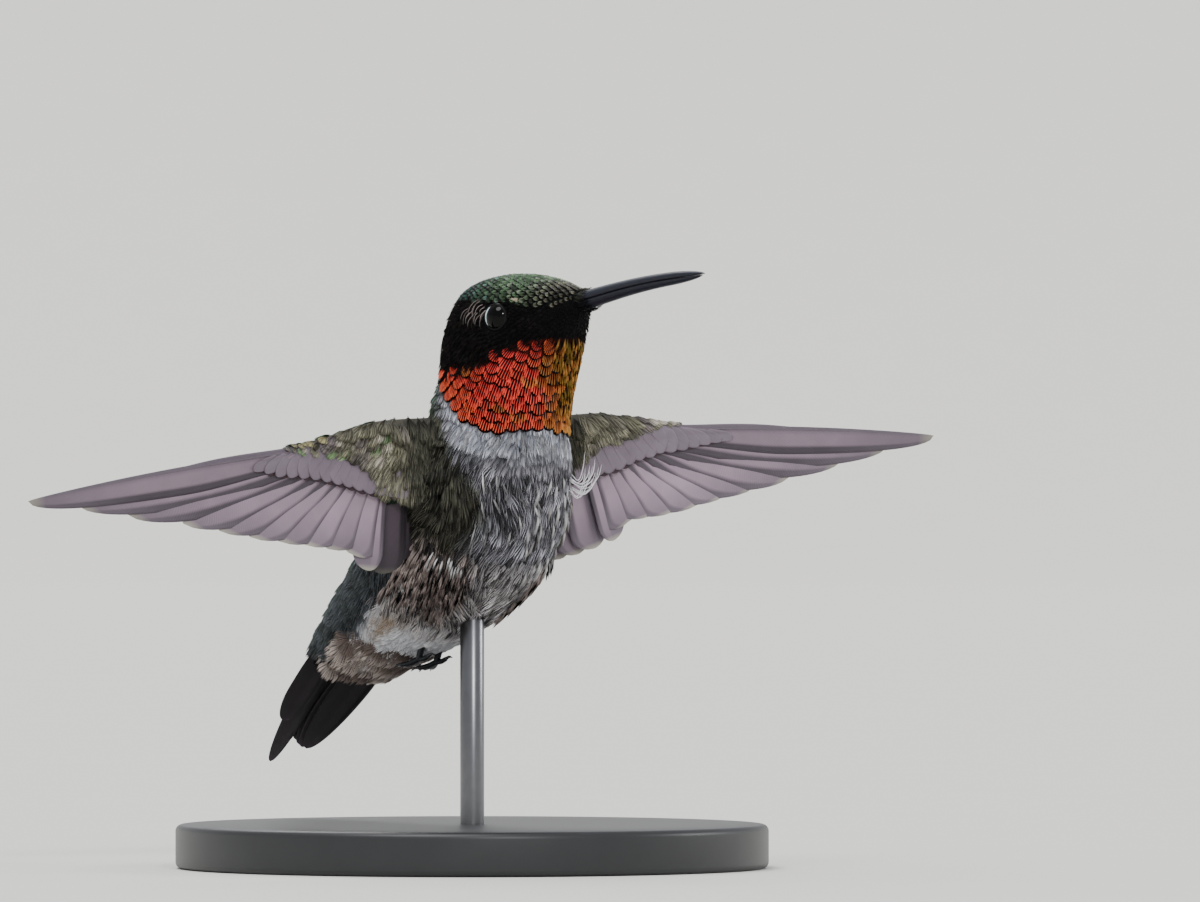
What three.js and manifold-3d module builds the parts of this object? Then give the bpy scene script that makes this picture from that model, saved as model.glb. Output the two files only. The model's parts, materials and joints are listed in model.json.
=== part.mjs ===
// Ruby-throated hummingbird (adult male), life size, hovering on a plain display stand.
// Millimetres, +Z up. The bird faces -Y and its right side is at -X.
// The origin is the middle of the underside of the stand's base.

import * as THREE from 'three';
import { mergeVertices } from 'three/addons/utils/BufferGeometryUtils.js';
import Module from 'manifold-3d';

const wasm = await Module();
wasm.setup();

// ---------------------------------------------------------------- driving dimensions

const GAP = 0.3; // clearance between neighbouring sub-parts
const VANE_THICKNESS = 0.5; // a flight feather, as thick as its web reads
const BILL_LENGTH = 15.5; // exposed bill
const BILL_BASE_HEIGHT = 1.75;
const BILL_END_HEIGHT = 1.0; // before the rounding of the tip
const BILL_BOW = 0.3; // the middle of the bill stands this far above its ends
const HEAD_YAW = THREE.MathUtils.degToRad(6.2); // turned to the bird's left
const BILL_PITCH = THREE.MathUtils.degToRad(8.2); // raised above the horizontal
const EYE_RADIUS = 1.45;
const TAIL_LENGTH = 26;
const STAND_RADIUS = 27;
const STAND_THICKNESS = 4;
const ROD_RADIUS = 1.1;
const BODY_HEIGHT = 33.5; // centre of the trunk above the floor
const ROD_BEHIND_CENTRE = 1.5; // the rod stands this far behind the centre of the trunk

// The centre of the trunk, from which the bird's own sizes are taken.
const TRUNK = new THREE.Vector3(0, -ROD_BEHIND_CENTRE, BODY_HEIGHT);

const v3 = (x, y, z) => new THREE.Vector3(x, y, z);
const lerp = THREE.MathUtils.lerp;
const smooth = (x, low, high) => THREE.MathUtils.smoothstep(x, low, high);

// ---------------------------------------------------------------- solids

// A closed surface, turned so that its faces point outwards.
function closedGeometry(points, triangles) {
  const sixfold = triangles.reduce((sum, [a, b, c]) =>
    sum + points[a].dot(points[b].clone().cross(points[c])), 0);
  const facing = sixfold < 0 ? triangles.map(([a, b, c]) => [a, c, b]) : triangles;
  const geometry = new THREE.BufferGeometry();
  geometry.setAttribute('position', new THREE.Float32BufferAttribute(points.flatMap((p) => p.toArray()), 3));
  geometry.setIndex(facing.flat());
  return geometry;
}

// Rings of equally many points, joined in order and closed with a fan at each end.
function loft(rings) {
  const size = rings[0].length;
  const points = rings.flat();
  const triangles = [];
  for (let ring = 0; ring + 1 < rings.length; ring += 1) {
    for (let i = 0; i < size; i += 1) {
      const a = ring * size + i;
      const b = ring * size + ((i + 1) % size);
      triangles.push([a, b, b + size], [a, b + size, a + size]);
    }
  }
  const capAt = (start, flip) => {
    const centre = v3(0, 0, 0);
    for (let i = 0; i < size; i += 1) centre.addScaledVector(points[start + i], 1 / size);
    points.push(centre);
    const hub = points.length - 1;
    for (let i = 0; i < size; i += 1) {
      const a = start + i;
      const b = start + ((i + 1) % size);
      triangles.push(flip ? [hub, b, a] : [hub, a, b]);
    }
  };
  const last = (rings.length - 1) * size;
  capAt(0, true);
  capAt(last, false);
  return closedGeometry(points, triangles);
}

function toSolid(geometry) {
  const bare = geometry.clone();
  bare.deleteAttribute('normal');
  bare.deleteAttribute('uv');
  const merged = mergeVertices(bare, 1e-4);
  const mesh = new wasm.Mesh({
    numProp: 3,
    vertProperties: new Float32Array(merged.attributes.position.array),
    triVerts: new Uint32Array(merged.index.array),
  });
  return new wasm.Manifold(mesh);
}

// Joins the pieces, takes the cutters away and keeps the largest closed body.
function fuse(pieces, cutters = []) {
  let body = wasm.Manifold.union(pieces.map(toSolid));
  for (const cutter of cutters) body = body.subtract(toSolid(cutter));
  return largest(body);
}

function largest(body) {
  const parts = body.simplify(0.01).decompose();
  parts.sort((a, b) => b.volume() - a.volume());
  return fromSolid(parts[0]);
}

function fromSolid(body) {
  const mesh = body.getMesh();
  const points = [];
  for (let i = 0; i < mesh.vertProperties.length; i += 3) {
    points.push(v3(...mesh.vertProperties.slice(i, i + 3)));
  }
  const triangles = [];
  for (let i = 0; i < mesh.triVerts.length; i += 3) triangles.push([...mesh.triVerts.slice(i, i + 3)]);
  turnSlivers(points, triangles);
  return closedGeometry(points, triangles);
}

const SLIVER = 0.004; // a triangle lower than this on its longest side is a sliver
const SLIVER_ROUNDS = 6;

// The triangle turned so that its longest side comes first, and its height over that side.
function longestFirst(points, triangle) {
  const sides = triangle.map((a, k) => points[a].distanceTo(points[triangle[(k + 1) % 3]]));
  const k = sides.indexOf(Math.max(...sides));
  const [a, b, c] = [0, 1, 2].map((step) => triangle[(k + step) % 3]);
  const area = points[b].clone().sub(points[a]).cross(points[c].clone().sub(points[a])).length();
  return { a, b, c, height: area / sides[k] };
}

// A union leaves triangles with their third corner almost on their longest side. Each such side
// is swapped for the other diagonal of the two triangles that share it.
function turnSlivers(points, triangles) {
  for (let round = 0; round < SLIVER_ROUNDS; round += 1) {
    const owner = new Map();
    triangles.forEach((triangle, i) =>
      triangle.forEach((a, k) => owner.set(`${a} ${triangle[(k + 1) % 3]}`, i)));
    const touched = new Set();
    triangles.forEach((triangle, i) => {
      const { a, b, c, height } = longestFirst(points, triangle);
      const other = owner.get(`${b} ${a}`);
      if (height > SLIVER || touched.has(i) || touched.has(other)) return;
      const d = triangles[other].find((corner) => corner !== a && corner !== b);
      const turned = [[a, d, c], [d, b, c]];
      const heights = turned.map((t) => longestFirst(points, t).height);
      if (owner.has(`${c} ${d}`) || owner.has(`${d} ${c}`) || Math.min(...heights) <= height) return;
      [triangles[i], triangles[other]] = turned;
      touched.add(i).add(other);
    });
    if (touched.size === 0) return;
  }
}

// ---------------------------------------------------------------- trunk and head form

// Stations from the face to the root of the tail, seen from the side. Each has a point on the
// back and one on the underside, as [y, z] from the centre of the trunk, half the width between
// them, and how far the widest place sits towards the back (+) or the underside (-).
const STATIONS = [
  { back: [-14.45, 18.95], under: [-14.6, 17.1], width: 1.0, rise: 0.0 },
  { back: [-12.0, 19.6], under: [-12.6, 15.3], width: 2.9, rise: 0.1 },
  { back: [-9.0, 20.35], under: [-11.2, 13.2], width: 4.5, rise: 0.1 },
  { back: [-5.2, 20.5], under: [-10.6, 11.2], width: 5.4, rise: 0.1 },
  { back: [-1.2, 19.2], under: [-10.2, 9.2], width: 5.8, rise: 0.1 },
  { back: [1.3, 15.7], under: [-9.9, 7.4], width: 5.8, rise: 0.1 },
  { back: [2.2, 11.4], under: [-9.7, 5.4], width: 5.8, rise: 0.05 },
  { back: [3.2, 8.0], under: [-9.4, 2.2], width: 6.2, rise: 0.0 },
  { back: [4.9, 4.8], under: [-8.5, -1.6], width: 7.1, rise: 0.0 },
  { back: [7.4, 1.9], under: [-6.4, -5.3], width: 7.7, rise: 0.0 },
  { back: [10.7, -0.8], under: [-3.2, -8.5], width: 7.5, rise: 0.0 },
  { back: [14.0, -3.6], under: [0.9, -11.2], width: 6.8, rise: 0.0 },
  { back: [17.3, -6.4], under: [5.6, -13.3], width: 5.9, rise: 0.0 },
  { back: [20.4, -9.2], under: [10.2, -14.8], width: 5.0, rise: 0.0 },
  { back: [23.0, -11.7], under: [14.6, -16.2], width: 4.2, rise: 0.0 },
  { back: [24.9, -13.7], under: [18.4, -17.5], width: 3.6, rise: 0.0 },
  { back: [26.2, -15.4], under: [21.2, -18.7], width: 3.0, rise: 0.0 },
];
const SECTION_POWER = 2.15; // 2 is an ellipse, more is squarer
const YAW_PIVOT_Y = -5.6; // the head turns about this upright line
const YAW_FULL_AT = 4.5; // stations up to here turn with the head
const YAW_NONE_AT = 7; // and from here on not at all

const rail = (name) =>
  new THREE.CatmullRomCurve3(STATIONS.map((s) => v3(0, s[name][0], s[name][1])), false, 'centripetal');
const backRail = rail('back');
const underRail = rail('under');
const widthCurve = new THREE.CatmullRomCurve3(STATIONS.map((s, i) => v3(i, s.width, s.rise)));

function atStation(curve, station) {
  return curve.getPoint(THREE.MathUtils.clamp(station / (STATIONS.length - 1), 0, 1));
}

function turnHead(point, amount) {
  const angle = HEAD_YAW * amount;
  const y = point.y - YAW_PIVOT_Y;
  return v3(
    point.x * Math.cos(angle) - y * Math.sin(angle),
    YAW_PIVOT_Y + point.x * Math.sin(angle) + y * Math.cos(angle),
    point.z,
  );
}

// A point on the body's surface: `angle` runs from 0 on the back over the bird's left side
// (+X) to PI on the underside. `grow` moves it outwards.
function bodyPoint(station, angle, grow = 0) {
  const back = atStation(backRail, station);
  const under = atStation(underRail, station);
  const { y: width, z: rise } = atStation(widthCurve, station);
  const half = back.clone().sub(under).multiplyScalar(0.5);
  const depth = half.length();
  const bulge = (value) => Math.sign(value) * Math.abs(value) ** (2 / SECTION_POWER);
  const up = bulge(Math.cos(angle)) * (depth + grow);
  const across = bulge(Math.sin(angle)) * (width + grow) * (1 + rise * Math.cos(angle));
  const point = under.clone().add(half).addScaledVector(half, up / depth);
  point.x += across;
  return turnHead(point, 1 - smooth(station, YAW_FULL_AT, YAW_NONE_AT)).add(TRUNK);
}

const BODY_SIDES = 24;

function bodyRing(station, grow = 0) {
  return Array.from({ length: BODY_SIDES }, (_, i) =>
    bodyPoint(station, (i / BODY_SIDES) * 2 * Math.PI, grow));
}

function bodyLoft(from, to, steps, grow = 0) {
  const rings = [];
  for (let i = 0; i <= steps; i += 1) rings.push(bodyRing(lerp(from, to, i / steps), grow));
  return loft(rings);
}

// Where the trunk is parted, as station numbers.
const NECK_TOP = 6;
const TORSO_TOP = 6.95;
const RUMP_TOP = 11.6;
const RUMP_END = 15.2;
const STATION_GAP = 0.045; // half of the thin cut, as a share of a station

// ---------------------------------------------------------------- feathers

const TIP_THINNING = 0.5; // a vane's thickness at its tip, as a share of `thick`
const SHAFT_RISE = 0.16; // and the height of its shaft above its two edges

// One feather: a thin plate from `root` to `tip`. `face` is the side that it shows, `lead` and
// `trail` are its greatest widths to the two sides of the shaft, `lift` bows it towards its
// face, `roll` tips it about its shaft, `narrow` and `blunt` are the width at the root and the
// tip as shares of the greatest, and `point` says how far along the taper starts.
function feather({ root, tip, face, lead, trail, lift = 0, sweep = 0, roll = 0, point = 0.7,
  narrow = 0.5, blunt = 0.17, thick = VANE_THICKNESS, steps = 4 }) {
  const along = tip.clone().sub(root).normalize();
  const side = along.clone().cross(face).normalize().applyAxisAngle(along, roll);
  const normal = side.clone().cross(along).normalize();
  const points = [];
  const triangles = [];
  for (let i = 0; i <= steps; i += 1) {
    const u = i / steps;
    const opening = lerp(narrow, 1, smooth(u, 0, 0.45));
    const past = Math.max(0, (u - point) / (1 - point));
    const wide = opening * Math.max(blunt, Math.sqrt(1 - past * past));
    const half = 0.5 * thick * lerp(1, TIP_THINNING, smooth(u, 0.6, 1));
    const shaft = root.clone().lerp(tip, u)
      .addScaledVector(face, lift * Math.sin(Math.PI * u))
      .addScaledVector(side, sweep * Math.sin(Math.PI * u));
    const edges = [-lead * wide, 0, trail * wide];
    const keel = [0, SHAFT_RISE * thick, 0];
    edges.forEach((x, k) => {
      points.push(shaft.clone().addScaledVector(side, x).addScaledVector(normal, half + keel[k]));
    });
    edges.forEach((x, k) => {
      points.push(shaft.clone().addScaledVector(side, x).addScaledVector(normal, keel[k] - half));
    });
  }
  const ring = 6;
  for (let i = 0; i < steps; i += 1) {
    const a = i * ring;
    for (let k = 0; k < 2; k += 1) {
      const top = a + k;
      const low = a + 3 + k;
      triangles.push([top, top + 1, top + ring + 1], [top, top + ring + 1, top + ring]);
      triangles.push([low, low + ring + 1, low + 1], [low, low + ring, low + ring + 1]);
    }
    triangles.push([a, a + ring, a + ring + 3], [a, a + ring + 3, a + 3]);
    triangles.push([a + 2, a + ring + 5, a + ring + 2], [a + 2, a + 5, a + ring + 5]);
  }
  const end = steps * ring;
  for (let k = 0; k < 2; k += 1) {
    triangles.push([k, k + 3, k + 4], [k, k + 4, k + 1]);
    triangles.push([end + k, end + k + 4, end + k + 3], [end + k, end + k + 1, end + k + 4]);
  }
  return closedGeometry(points, triangles);
}

// Feathers that lie on the body between two stations, in one row across it. `from` and `to`
// are the angles of the row's ends, and the tips stand off the surface by `proud`.
function bodyRow({ station, length, from, to, count, half, proud = 0.25, thick = 0.5, steps = 2 }) {
  return Array.from({ length: count }, (_, i) => {
    const angle = count > 1 ? lerp(from, to, i / (count - 1)) : (from + to) / 2;
    const root = bodyPoint(station, angle, -0.45);
    const tip = bodyPoint(station + length, angle, proud - thick / 4);
    const middle = bodyPoint(station + length / 2, angle, 0);
    const across = bodyPoint(station + length / 2, angle + 0.05, 0).sub(middle);
    const face = tip.clone().sub(root).cross(across).normalize();
    const outward = middle.clone().sub(bodyPoint(station + length / 2, angle, -1));
    if (face.dot(outward) < 0) face.negate();
    const lift = middle.sub(root.clone().lerp(tip, 0.5)).dot(face);
    return feather({ root, tip, face, lead: half, trail: half, lift, point: 0.4, blunt: 0.5, thick, steps });
  });
}

// ---------------------------------------------------------------- materials and nodes

const bird = new THREE.Group();

function addNode(name, geometry, color, roughness = 0.7, metalness = 0) {
  geometry.computeVertexNormals();
  const material = new THREE.MeshStandardMaterial({ color, roughness, metalness });
  const mesh = new THREE.Mesh(geometry, material);
  mesh.name = name;
  bird.add(mesh);
  return mesh;
}

const COLOURS = {
  crown: 0x2f4a38,
  gorget: 0xb5331a,
  collar: 0xc9c8c6,
  breast: 0x8f918c,
  rump: 0x3b4a40,
  tail: 0x1d1a20,
  wing: 0x7d6f76,
  covert: 0x6b6a5b,
  bill: 0x17181b,
  eye: 0x050506,
  foot: 0x1c1917,
  stand: 0x2b2b2d,
};

// ---------------------------------------------------------------- bill

const forward = v3(Math.sin(HEAD_YAW) * Math.cos(BILL_PITCH),
  -Math.cos(HEAD_YAW) * Math.cos(BILL_PITCH), Math.sin(BILL_PITCH));
const headLeft = v3(Math.cos(HEAD_YAW), Math.sin(HEAD_YAW), 0);
const headUp = headLeft.clone().cross(forward).negate().normalize();
const billBase = turnHead(v3(0, -14.63, 18.05), 1).add(TRUNK);

// A point of the head: ahead of the bill's base, to the bird's left of it and above it.
const headPoint = (ahead, left, up) =>
  billBase.clone().addScaledVector(forward, ahead).addScaledVector(headLeft, left).addScaledVector(headUp, up);

// Half of the bill, from the line of the mouth out to the ridge (side 1) or the keel (side -1).
const MOUTH_SHARE = 0.45; // the line of the mouth, as a share of the height above the keel
const TIP_STARTS = 0.72;

function mandible(side) {
  const stops = [0, 0.12, 0.25, 0.4, 0.55, 0.7, 0.82, 0.91, 0.97, 1];
  const length = side > 0 ? BILL_LENGTH : BILL_LENGTH - 0.35; // the upper half hooks over the lower
  const rings = stops.map((u) => {
    const past = Math.max(0, (u - TIP_STARTS) / (1.03 - TIP_STARTS));
    const height = lerp(BILL_BASE_HEIGHT, BILL_END_HEIGHT, u) * Math.sqrt(1 - past * past);
    const mouth = height * (MOUTH_SHARE - 0.5) + BILL_BOW * Math.sin(Math.PI * u) + side * GAP / 2;
    const share = side > 0 ? 1 - MOUTH_SHARE : MOUTH_SHARE;
    const deep = Math.max(0.08, height * share - GAP / 2);
    const half = height * 0.55;
    return [0, 45, 90, 135, 180].map((degree) => {
      const angle = THREE.MathUtils.degToRad(degree);
      return headPoint(lerp(GAP, length, u), -Math.cos(angle) * half, mouth + side * Math.sin(angle) * deep);
    });
  });
  return loft(rings);
}

function ellipsoid(centre, forwardRadius, leftRadius, upRadius, detail = 12) {
  const geometry = new THREE.SphereGeometry(1, detail, detail / 2);
  const basis = new THREE.Matrix4().makeBasis(
    headLeft.clone().multiplyScalar(leftRadius),
    forward.clone().multiplyScalar(-forwardRadius),
    headUp.clone().multiplyScalar(upRadius),
  );
  geometry.applyMatrix4(basis);
  geometry.translate(centre.x, centre.y, centre.z);
  return geometry;
}

const NOSTRIL_AHEAD = 1.5;
const nostrils = [-1, 1].map((side) =>
  ellipsoid(headPoint(NOSTRIL_AHEAD, side * 0.88, 0.42), 0.75, 0.22, 0.12, 8));
addNode('bill_upper', fuse([mandible(1)], nostrils), COLOURS.bill, 0.35);
addNode('bill_lower', mandible(-1), COLOURS.bill, 0.35);

// ---------------------------------------------------------------- head

const EYE_AHEAD = -6.95;
const EYE_UP = -0.55;
const EYE_OUT = 4.25;
const eyeCentre = (side) => headPoint(EYE_AHEAD, side * EYE_OUT, EYE_UP);

function lid(side) {
  const geometry = new THREE.TorusGeometry(EYE_RADIUS * 0.93, 0.28, 5, 16);
  const out = headLeft.clone().multiplyScalar(side).addScaledVector(forward, 0.22).normalize();
  const turn = new THREE.Quaternion().setFromUnitVectors(v3(0, 0, 1), out);
  geometry.applyQuaternion(turn);
  const centre = eyeCentre(side).addScaledVector(out, EYE_RADIUS * 0.5);
  geometry.translate(centre.x, centre.y, centre.z);
  return geometry;
}

function sphere(centre, radius, across = 14, down = 10) {
  const geometry = new THREE.SphereGeometry(radius, across, down);
  geometry.translate(centre.x, centre.y, centre.z);
  return geometry;
}

// The throat is parted from the head along two planes across the head, seen from the side.
const THROAT_LINE = [[-15, 15.0], [-0.2, 11.3], [0.4, 2]];
const THROAT_FRONT = -22;

function throatBlock(shrink) {
  const [chin, jaw, low] = THROAT_LINE;
  const outline = [
    [THROAT_FRONT, chin[1] + 1.7 - shrink], [chin[0], chin[1] - shrink], [jaw[0] - shrink, jaw[1] - shrink],
    [low[0] - shrink, low[1]], [THROAT_FRONT, low[1]],
  ];
  const rings = [12, -12].map((x) =>
    outline.map(([y, z]) => turnHead(v3(x, y, z), 1).add(TRUNK)));
  return loft(rings);
}

// Rows of overlapping scale feathers down the gorget, each row staggered against the last.
const GORGET_ROWS = 5;
const GORGET_FROM = 2.0; // stations
const GORGET_TO = 5.35;

function gorgetFeathers() {
  return Array.from({ length: GORGET_ROWS }, (_, row) => {
    const u = row / (GORGET_ROWS - 1);
    const count = 5 + row + (row > 1 ? 1 : 0);
    const spread = lerp(0.75, 1.75, u);
    return bodyRow({
      station: lerp(GORGET_FROM, GORGET_TO, u),
      length: 1.15,
      from: Math.PI - spread,
      to: Math.PI + spread,
      count,
      half: 1.25,
      proud: 0.2,
    });
  }).flat();
}

const headForm = () => bodyLoft(0, NECK_TOP - STATION_GAP, 12);
const eyeSockets = [-1, 1].map((side) => sphere(eyeCentre(side), EYE_RADIUS + GAP));
addNode('head', fuse([headForm(), lid(-1), lid(1)], [...eyeSockets, throatBlock(0)]), COLOURS.crown, 0.5, 0.2);
const neckShell = bodyLoft(NECK_TOP - STATION_GAP, TORSO_TOP, 2, 2);
const throatForm = toSolid(headForm()).intersect(toSolid(throatBlock(GAP)));
const throat = wasm.Manifold.union([throatForm, ...gorgetFeathers().map(toSolid)])
  .intersect(toSolid(throatBlock(GAP))).subtract(toSolid(neckShell));
addNode('throat', largest(throat), COLOURS.gorget, 0.4, 0.3);
addNode('eye_right', sphere(eyeCentre(-1), EYE_RADIUS), COLOURS.eye, 0.05);
addNode('eye_left', sphere(eyeCentre(1), EYE_RADIUS), COLOURS.eye, 0.05);

// ---------------------------------------------------------------- neck, torso and rump

addNode('neck', bodyLoft(NECK_TOP + STATION_GAP, TORSO_TOP - STATION_GAP, 2), COLOURS.collar);

const SOCKET_DEPTH = 4;
const ROD_STATION = 11.3; // where the rod enters the belly
const rodTop = TRUNK.z + atStation(underRail, ROD_STATION).z + SOCKET_DEPTH;

function rod(radius, from, to) {
  const geometry = new THREE.CylinderGeometry(radius, radius, to - from, 16);
  geometry.rotateX(Math.PI / 2);
  geometry.translate(0, 0, (from + to) / 2);
  return geometry;
}

const rodHole = rod(ROD_RADIUS + GAP, STAND_THICKNESS, rodTop + GAP);
addNode('torso', fuse([bodyLoft(TORSO_TOP + STATION_GAP, RUMP_TOP - STATION_GAP, 9)], [rodHole]), COLOURS.breast);

// ---------------------------------------------------------------- tail

const TAIL_PITCH = THREE.MathUtils.degToRad(42);
const TAIL_ROLL = THREE.MathUtils.degToRad(15);
const tailTip = TRUNK.clone().add(v3(0, 31.2, -23.4));
const tailBack = v3(0, Math.cos(TAIL_PITCH), -Math.sin(TAIL_PITCH));
const tailSide = v3(1, 0, 0).applyAxisAngle(tailBack, TAIL_ROLL);
const tailUp = tailSide.clone().cross(tailBack).normalize();
const tailRoot = tailTip.clone().addScaledVector(tailBack, -TAIL_LENGTH);
const tailPoint = (along, left, up) =>
  tailRoot.clone().addScaledVector(tailBack, along).addScaledVector(tailSide, left).addScaledVector(tailUp, up);

const RECTRICES = 5; // on each side
const TAIL_FORK = 2.2; // the outer feathers are this much longer than the middle pair
const TAIL_BASE_HALF = 2.9; // the shafts' spread where they leave the rump
const TAIL_TIP_HALF = 1.9; // and at their tips, as the tail is nearly closed

function tailFeathers() {
  const feathers = [];
  for (const side of [-1, 1]) {
    for (let i = 0; i < RECTRICES; i += 1) {
      const spread = (side * (i + 0.5)) / RECTRICES;
      const outer = i / (RECTRICES - 1);
      const below = 0.6 - 0.4 * i; // each feather lies under the one nearer the middle
      feathers.push(feather({
        root: tailPoint(TAIL_LENGTH * 0.42, spread * TAIL_BASE_HALF, below),
        tip: tailPoint(TAIL_LENGTH - TAIL_FORK * (1 - outer), spread * TAIL_TIP_HALF, below * 0.7),
        face: tailUp,
        lead: side > 0 ? 1.2 : 1.6,
        trail: side > 0 ? 1.6 : 1.2,
        lift: 0.2,
        roll: side * -0.12,
        point: lerp(0.7, 0.45, outer),
      }));
    }
  }
  return feathers;
}

const TAIL_COVERT_ROWS = [
  { station: 12.1, length: 1.6, from: -0.9, to: 0.9, count: 5, half: 1.4, proud: 0.12 },
  { station: 13.4, length: 1.6, from: -0.7, to: 0.7, count: 4, half: 1.3, proud: 0.12 },
  { station: 12.9, length: 1.3, from: 2.2, to: 4.1, count: 5, half: 1.4, proud: 0.12 },
  { station: 13.9, length: 1.2, from: 2.4, to: 3.9, count: 4, half: 1.3, proud: 0.12 },
];

addNode('rump', fuse([
  bodyLoft(RUMP_TOP + STATION_GAP, RUMP_END, 7),
  ...TAIL_COVERT_ROWS.flatMap(bodyRow),
]), COLOURS.rump);
const rumpShell = bodyLoft(RUMP_TOP, RUMP_END + 0.12, 7, GAP + 0.35);
addNode('tail', fuse(tailFeathers(), [rumpShell]), COLOURS.tail);

// ---------------------------------------------------------------- wings

const SHOULDER = { out: 6.5, y: -1, z: 6 };
const WING_TIP = { right: v3(-49.6, 1.0, 0), left: v3(49.95, -2.8, 5.9) };
const WING_PITCH = THREE.MathUtils.degToRad(3); // the trailing edge lies this far behind the leading one

// Places in the wing's plane are [along, back]: along the line from the shoulder to the wing's
// tip, and back from that line towards the trailing edge.
const TRAILING_EDGE = {
  right: [[43.5, 0], [38.3, 1.3], [33.2, 2.9], [27, 4.8], [20.2, 7.2], [14.3, 9.0], [9.8, 10.6],
    [6.2, 12.1], [3.8, 11.0], [1.8, 9.2], [0.6, 7.6]],
  left: [[43.5, 0], [38.3, 1.2], [33.2, 2.6], [27, 4.3], [20.2, 6.2], [14.3, 8.0], [9.8, 8.9],
    [6.8, 10.3], [4.6, 11.2], [2.8, 11.7], [1.4, 10.6]],
};
const PRIMARY_REACH = [43.5, 38.3, 33.2, 27.4, 23.6, 20.4, 17.4, 14.6, 12.1, 9.9]; // outermost first
const SECONDARY_REACH = {
  right: [7.9, 6.3, 4.9, 3.6, 2.4, 1.3],
  left: [8.0, 6.6, 5.3, 4.1, 2.9, 1.8],
};
const SECONDARY_ROOTS = { right: [6.0, 0.6], left: [5.0, -1.4] }; // outermost and innermost
const DIVIDE = { wrist: [6.0, -4], edge: [9.0, 14] }; // the cut between hand and forearm

function trailingEdge(name, along) {
  const points = TRAILING_EDGE[name];
  const next = Math.max(1, points.findIndex(([s]) => s <= along));
  const [s0, c0] = points[next - 1];
  const [s1, c1] = points[next];
  return lerp(c0, c1, (s0 - along) / (s0 - s1));
}

function wingFrame(side) {
  const name = side < 0 ? 'right' : 'left';
  const shoulder = v3(side * SHOULDER.out, SHOULDER.y, SHOULDER.z).add(TRUNK);
  const tip = WING_TIP[name].clone().add(TRUNK);
  const along = tip.clone().sub(shoulder).normalize();
  const back = v3(0, Math.sin(WING_PITCH), -Math.cos(WING_PITCH));
  back.addScaledVector(along, -back.dot(along)).normalize();
  const belly = along.clone().cross(back).multiplyScalar(-side).normalize();
  const at = ([s, c], up = 0) =>
    shoulder.clone().addScaledVector(along, s).addScaledVector(back, c).addScaledVector(belly, up);
  return { side, name, belly, at };
}

// A wing feather between two places in the wing's plane, at the height `up` towards the belly
// side. `lead` is its width towards the wing's leading edge, whichever wing it is in.
function wingFeather({ side, belly, at }, root, tip, { lead, trail, up = 0, tipUp = up, roll = 0, ...rest }) {
  return feather({
    ...rest,
    root: at(root, up),
    tip: at(tip, tipUp),
    face: belly,
    lead: side > 0 ? lead : trail,
    trail: side > 0 ? trail : lead,
    roll: roll * side,
  });
}

function primaries(frame) {
  return PRIMARY_REACH.map((reach, i) => {
    const inner = i / (PRIMARY_REACH.length - 1);
    const root = [lerp(13.5, 6.9, inner), lerp(-0.45, 1.0, inner)];
    const wide = i === 0 ? 2.6 : lerp(3.6, 4.1, Math.min(1, inner * 2));
    const lead = i === 0 ? 0.25 : 0.28 * wide;
    return wingFeather(frame, root, [reach, trailingEdge(frame.name, reach) - 0.12 * i], {
      lead,
      trail: wide - lead,
      up: lerp(0.25, -0.15, inner),
      roll: 0.1,
      point: lerp(0.4, 0.7, Math.min(1, inner * 1.5)),
      narrow: 0.6,
    });
  });
}

function secondaries(frame) {
  const [outerRoot, innerRoot] = SECONDARY_ROOTS[frame.name];
  return SECONDARY_REACH[frame.name].map((reach, i, all) => {
    const inner = i / (all.length - 1);
    return wingFeather(frame, [lerp(outerRoot, innerRoot, inner), 1.3], [reach, trailingEdge(frame.name, reach)], {
      lead: 1.3, trail: 1.7, up: -0.2, roll: 0.12, point: 0.7, narrow: 0.6,
    });
  });
}

// Tiers of coverts, each on both faces of the wing: the tips of the outermost and innermost
// feather, the step from a tip back to its root, and how far it stands off the vanes.
const HAND_TIERS = [
  { outer: [20.0, 1.6], inner: [9.8, 3.5], toRoot: [[-6, -2.0], [-3.6, -3.6]], count: 6, half: 1.0, up: 0.42 },
  { outer: [17.0, 0.3], inner: [9.0, 1.8], toRoot: [[-5, -1.2], [-2.8, -2.6]], count: 4, half: 1.1, up: 0.72 },
];
const ARM_TIERS = [
  { outer: [8.0, 4.2], inner: [1.6, 5.5], toRoot: [[-2.6, -3.2], [-1.6, -4.0]], count: 5, half: 1.1, up: 0.5 },
  { outer: [6.8, 2.2], inner: [1.4, 3.2], toRoot: [[-2.0, -2.4], [-1.2, -2.8]], count: 4, half: 1.1, up: 0.95 },
];

function coverts(frame, tiers) {
  return tiers.flatMap(({ outer, inner, toRoot, count, half, up }) =>
    [-1, 1].flatMap((face) => Array.from({ length: count }, (_, i) => {
      const u = i / (count - 1);
      const tip = [0, 1].map((k) => lerp(outer[k], inner[k], u));
      const root = [0, 1].map((k) => tip[k] + lerp(toRoot[0][k], toRoot[1][k], u));
      return wingFeather(frame, root, tip, {
        lead: half, trail: half, up: face * up * 0.6, tipUp: face * up, roll: face * 0.08,
        point: 0.4, narrow: 0.7, blunt: 0.45, steps: 2,
      });
    })));
}

const PAD_SIDES = 10;

// The fleshy leading part of the wing between two places along it, as a tapered pad.
function wingPad(frame, stops) {
  const rings = stops.map(({ s, front, rear, thick }) => {
    const middle = (front + rear) / 2;
    const half = (rear - front) / 2;
    return Array.from({ length: PAD_SIDES }, (_, k) => {
      const angle = (k / PAD_SIDES) * 2 * Math.PI;
      return frame.at([s, middle + half * Math.cos(angle)], (thick / 2) * Math.sin(angle));
    });
  });
  return loft(rings);
}

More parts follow.
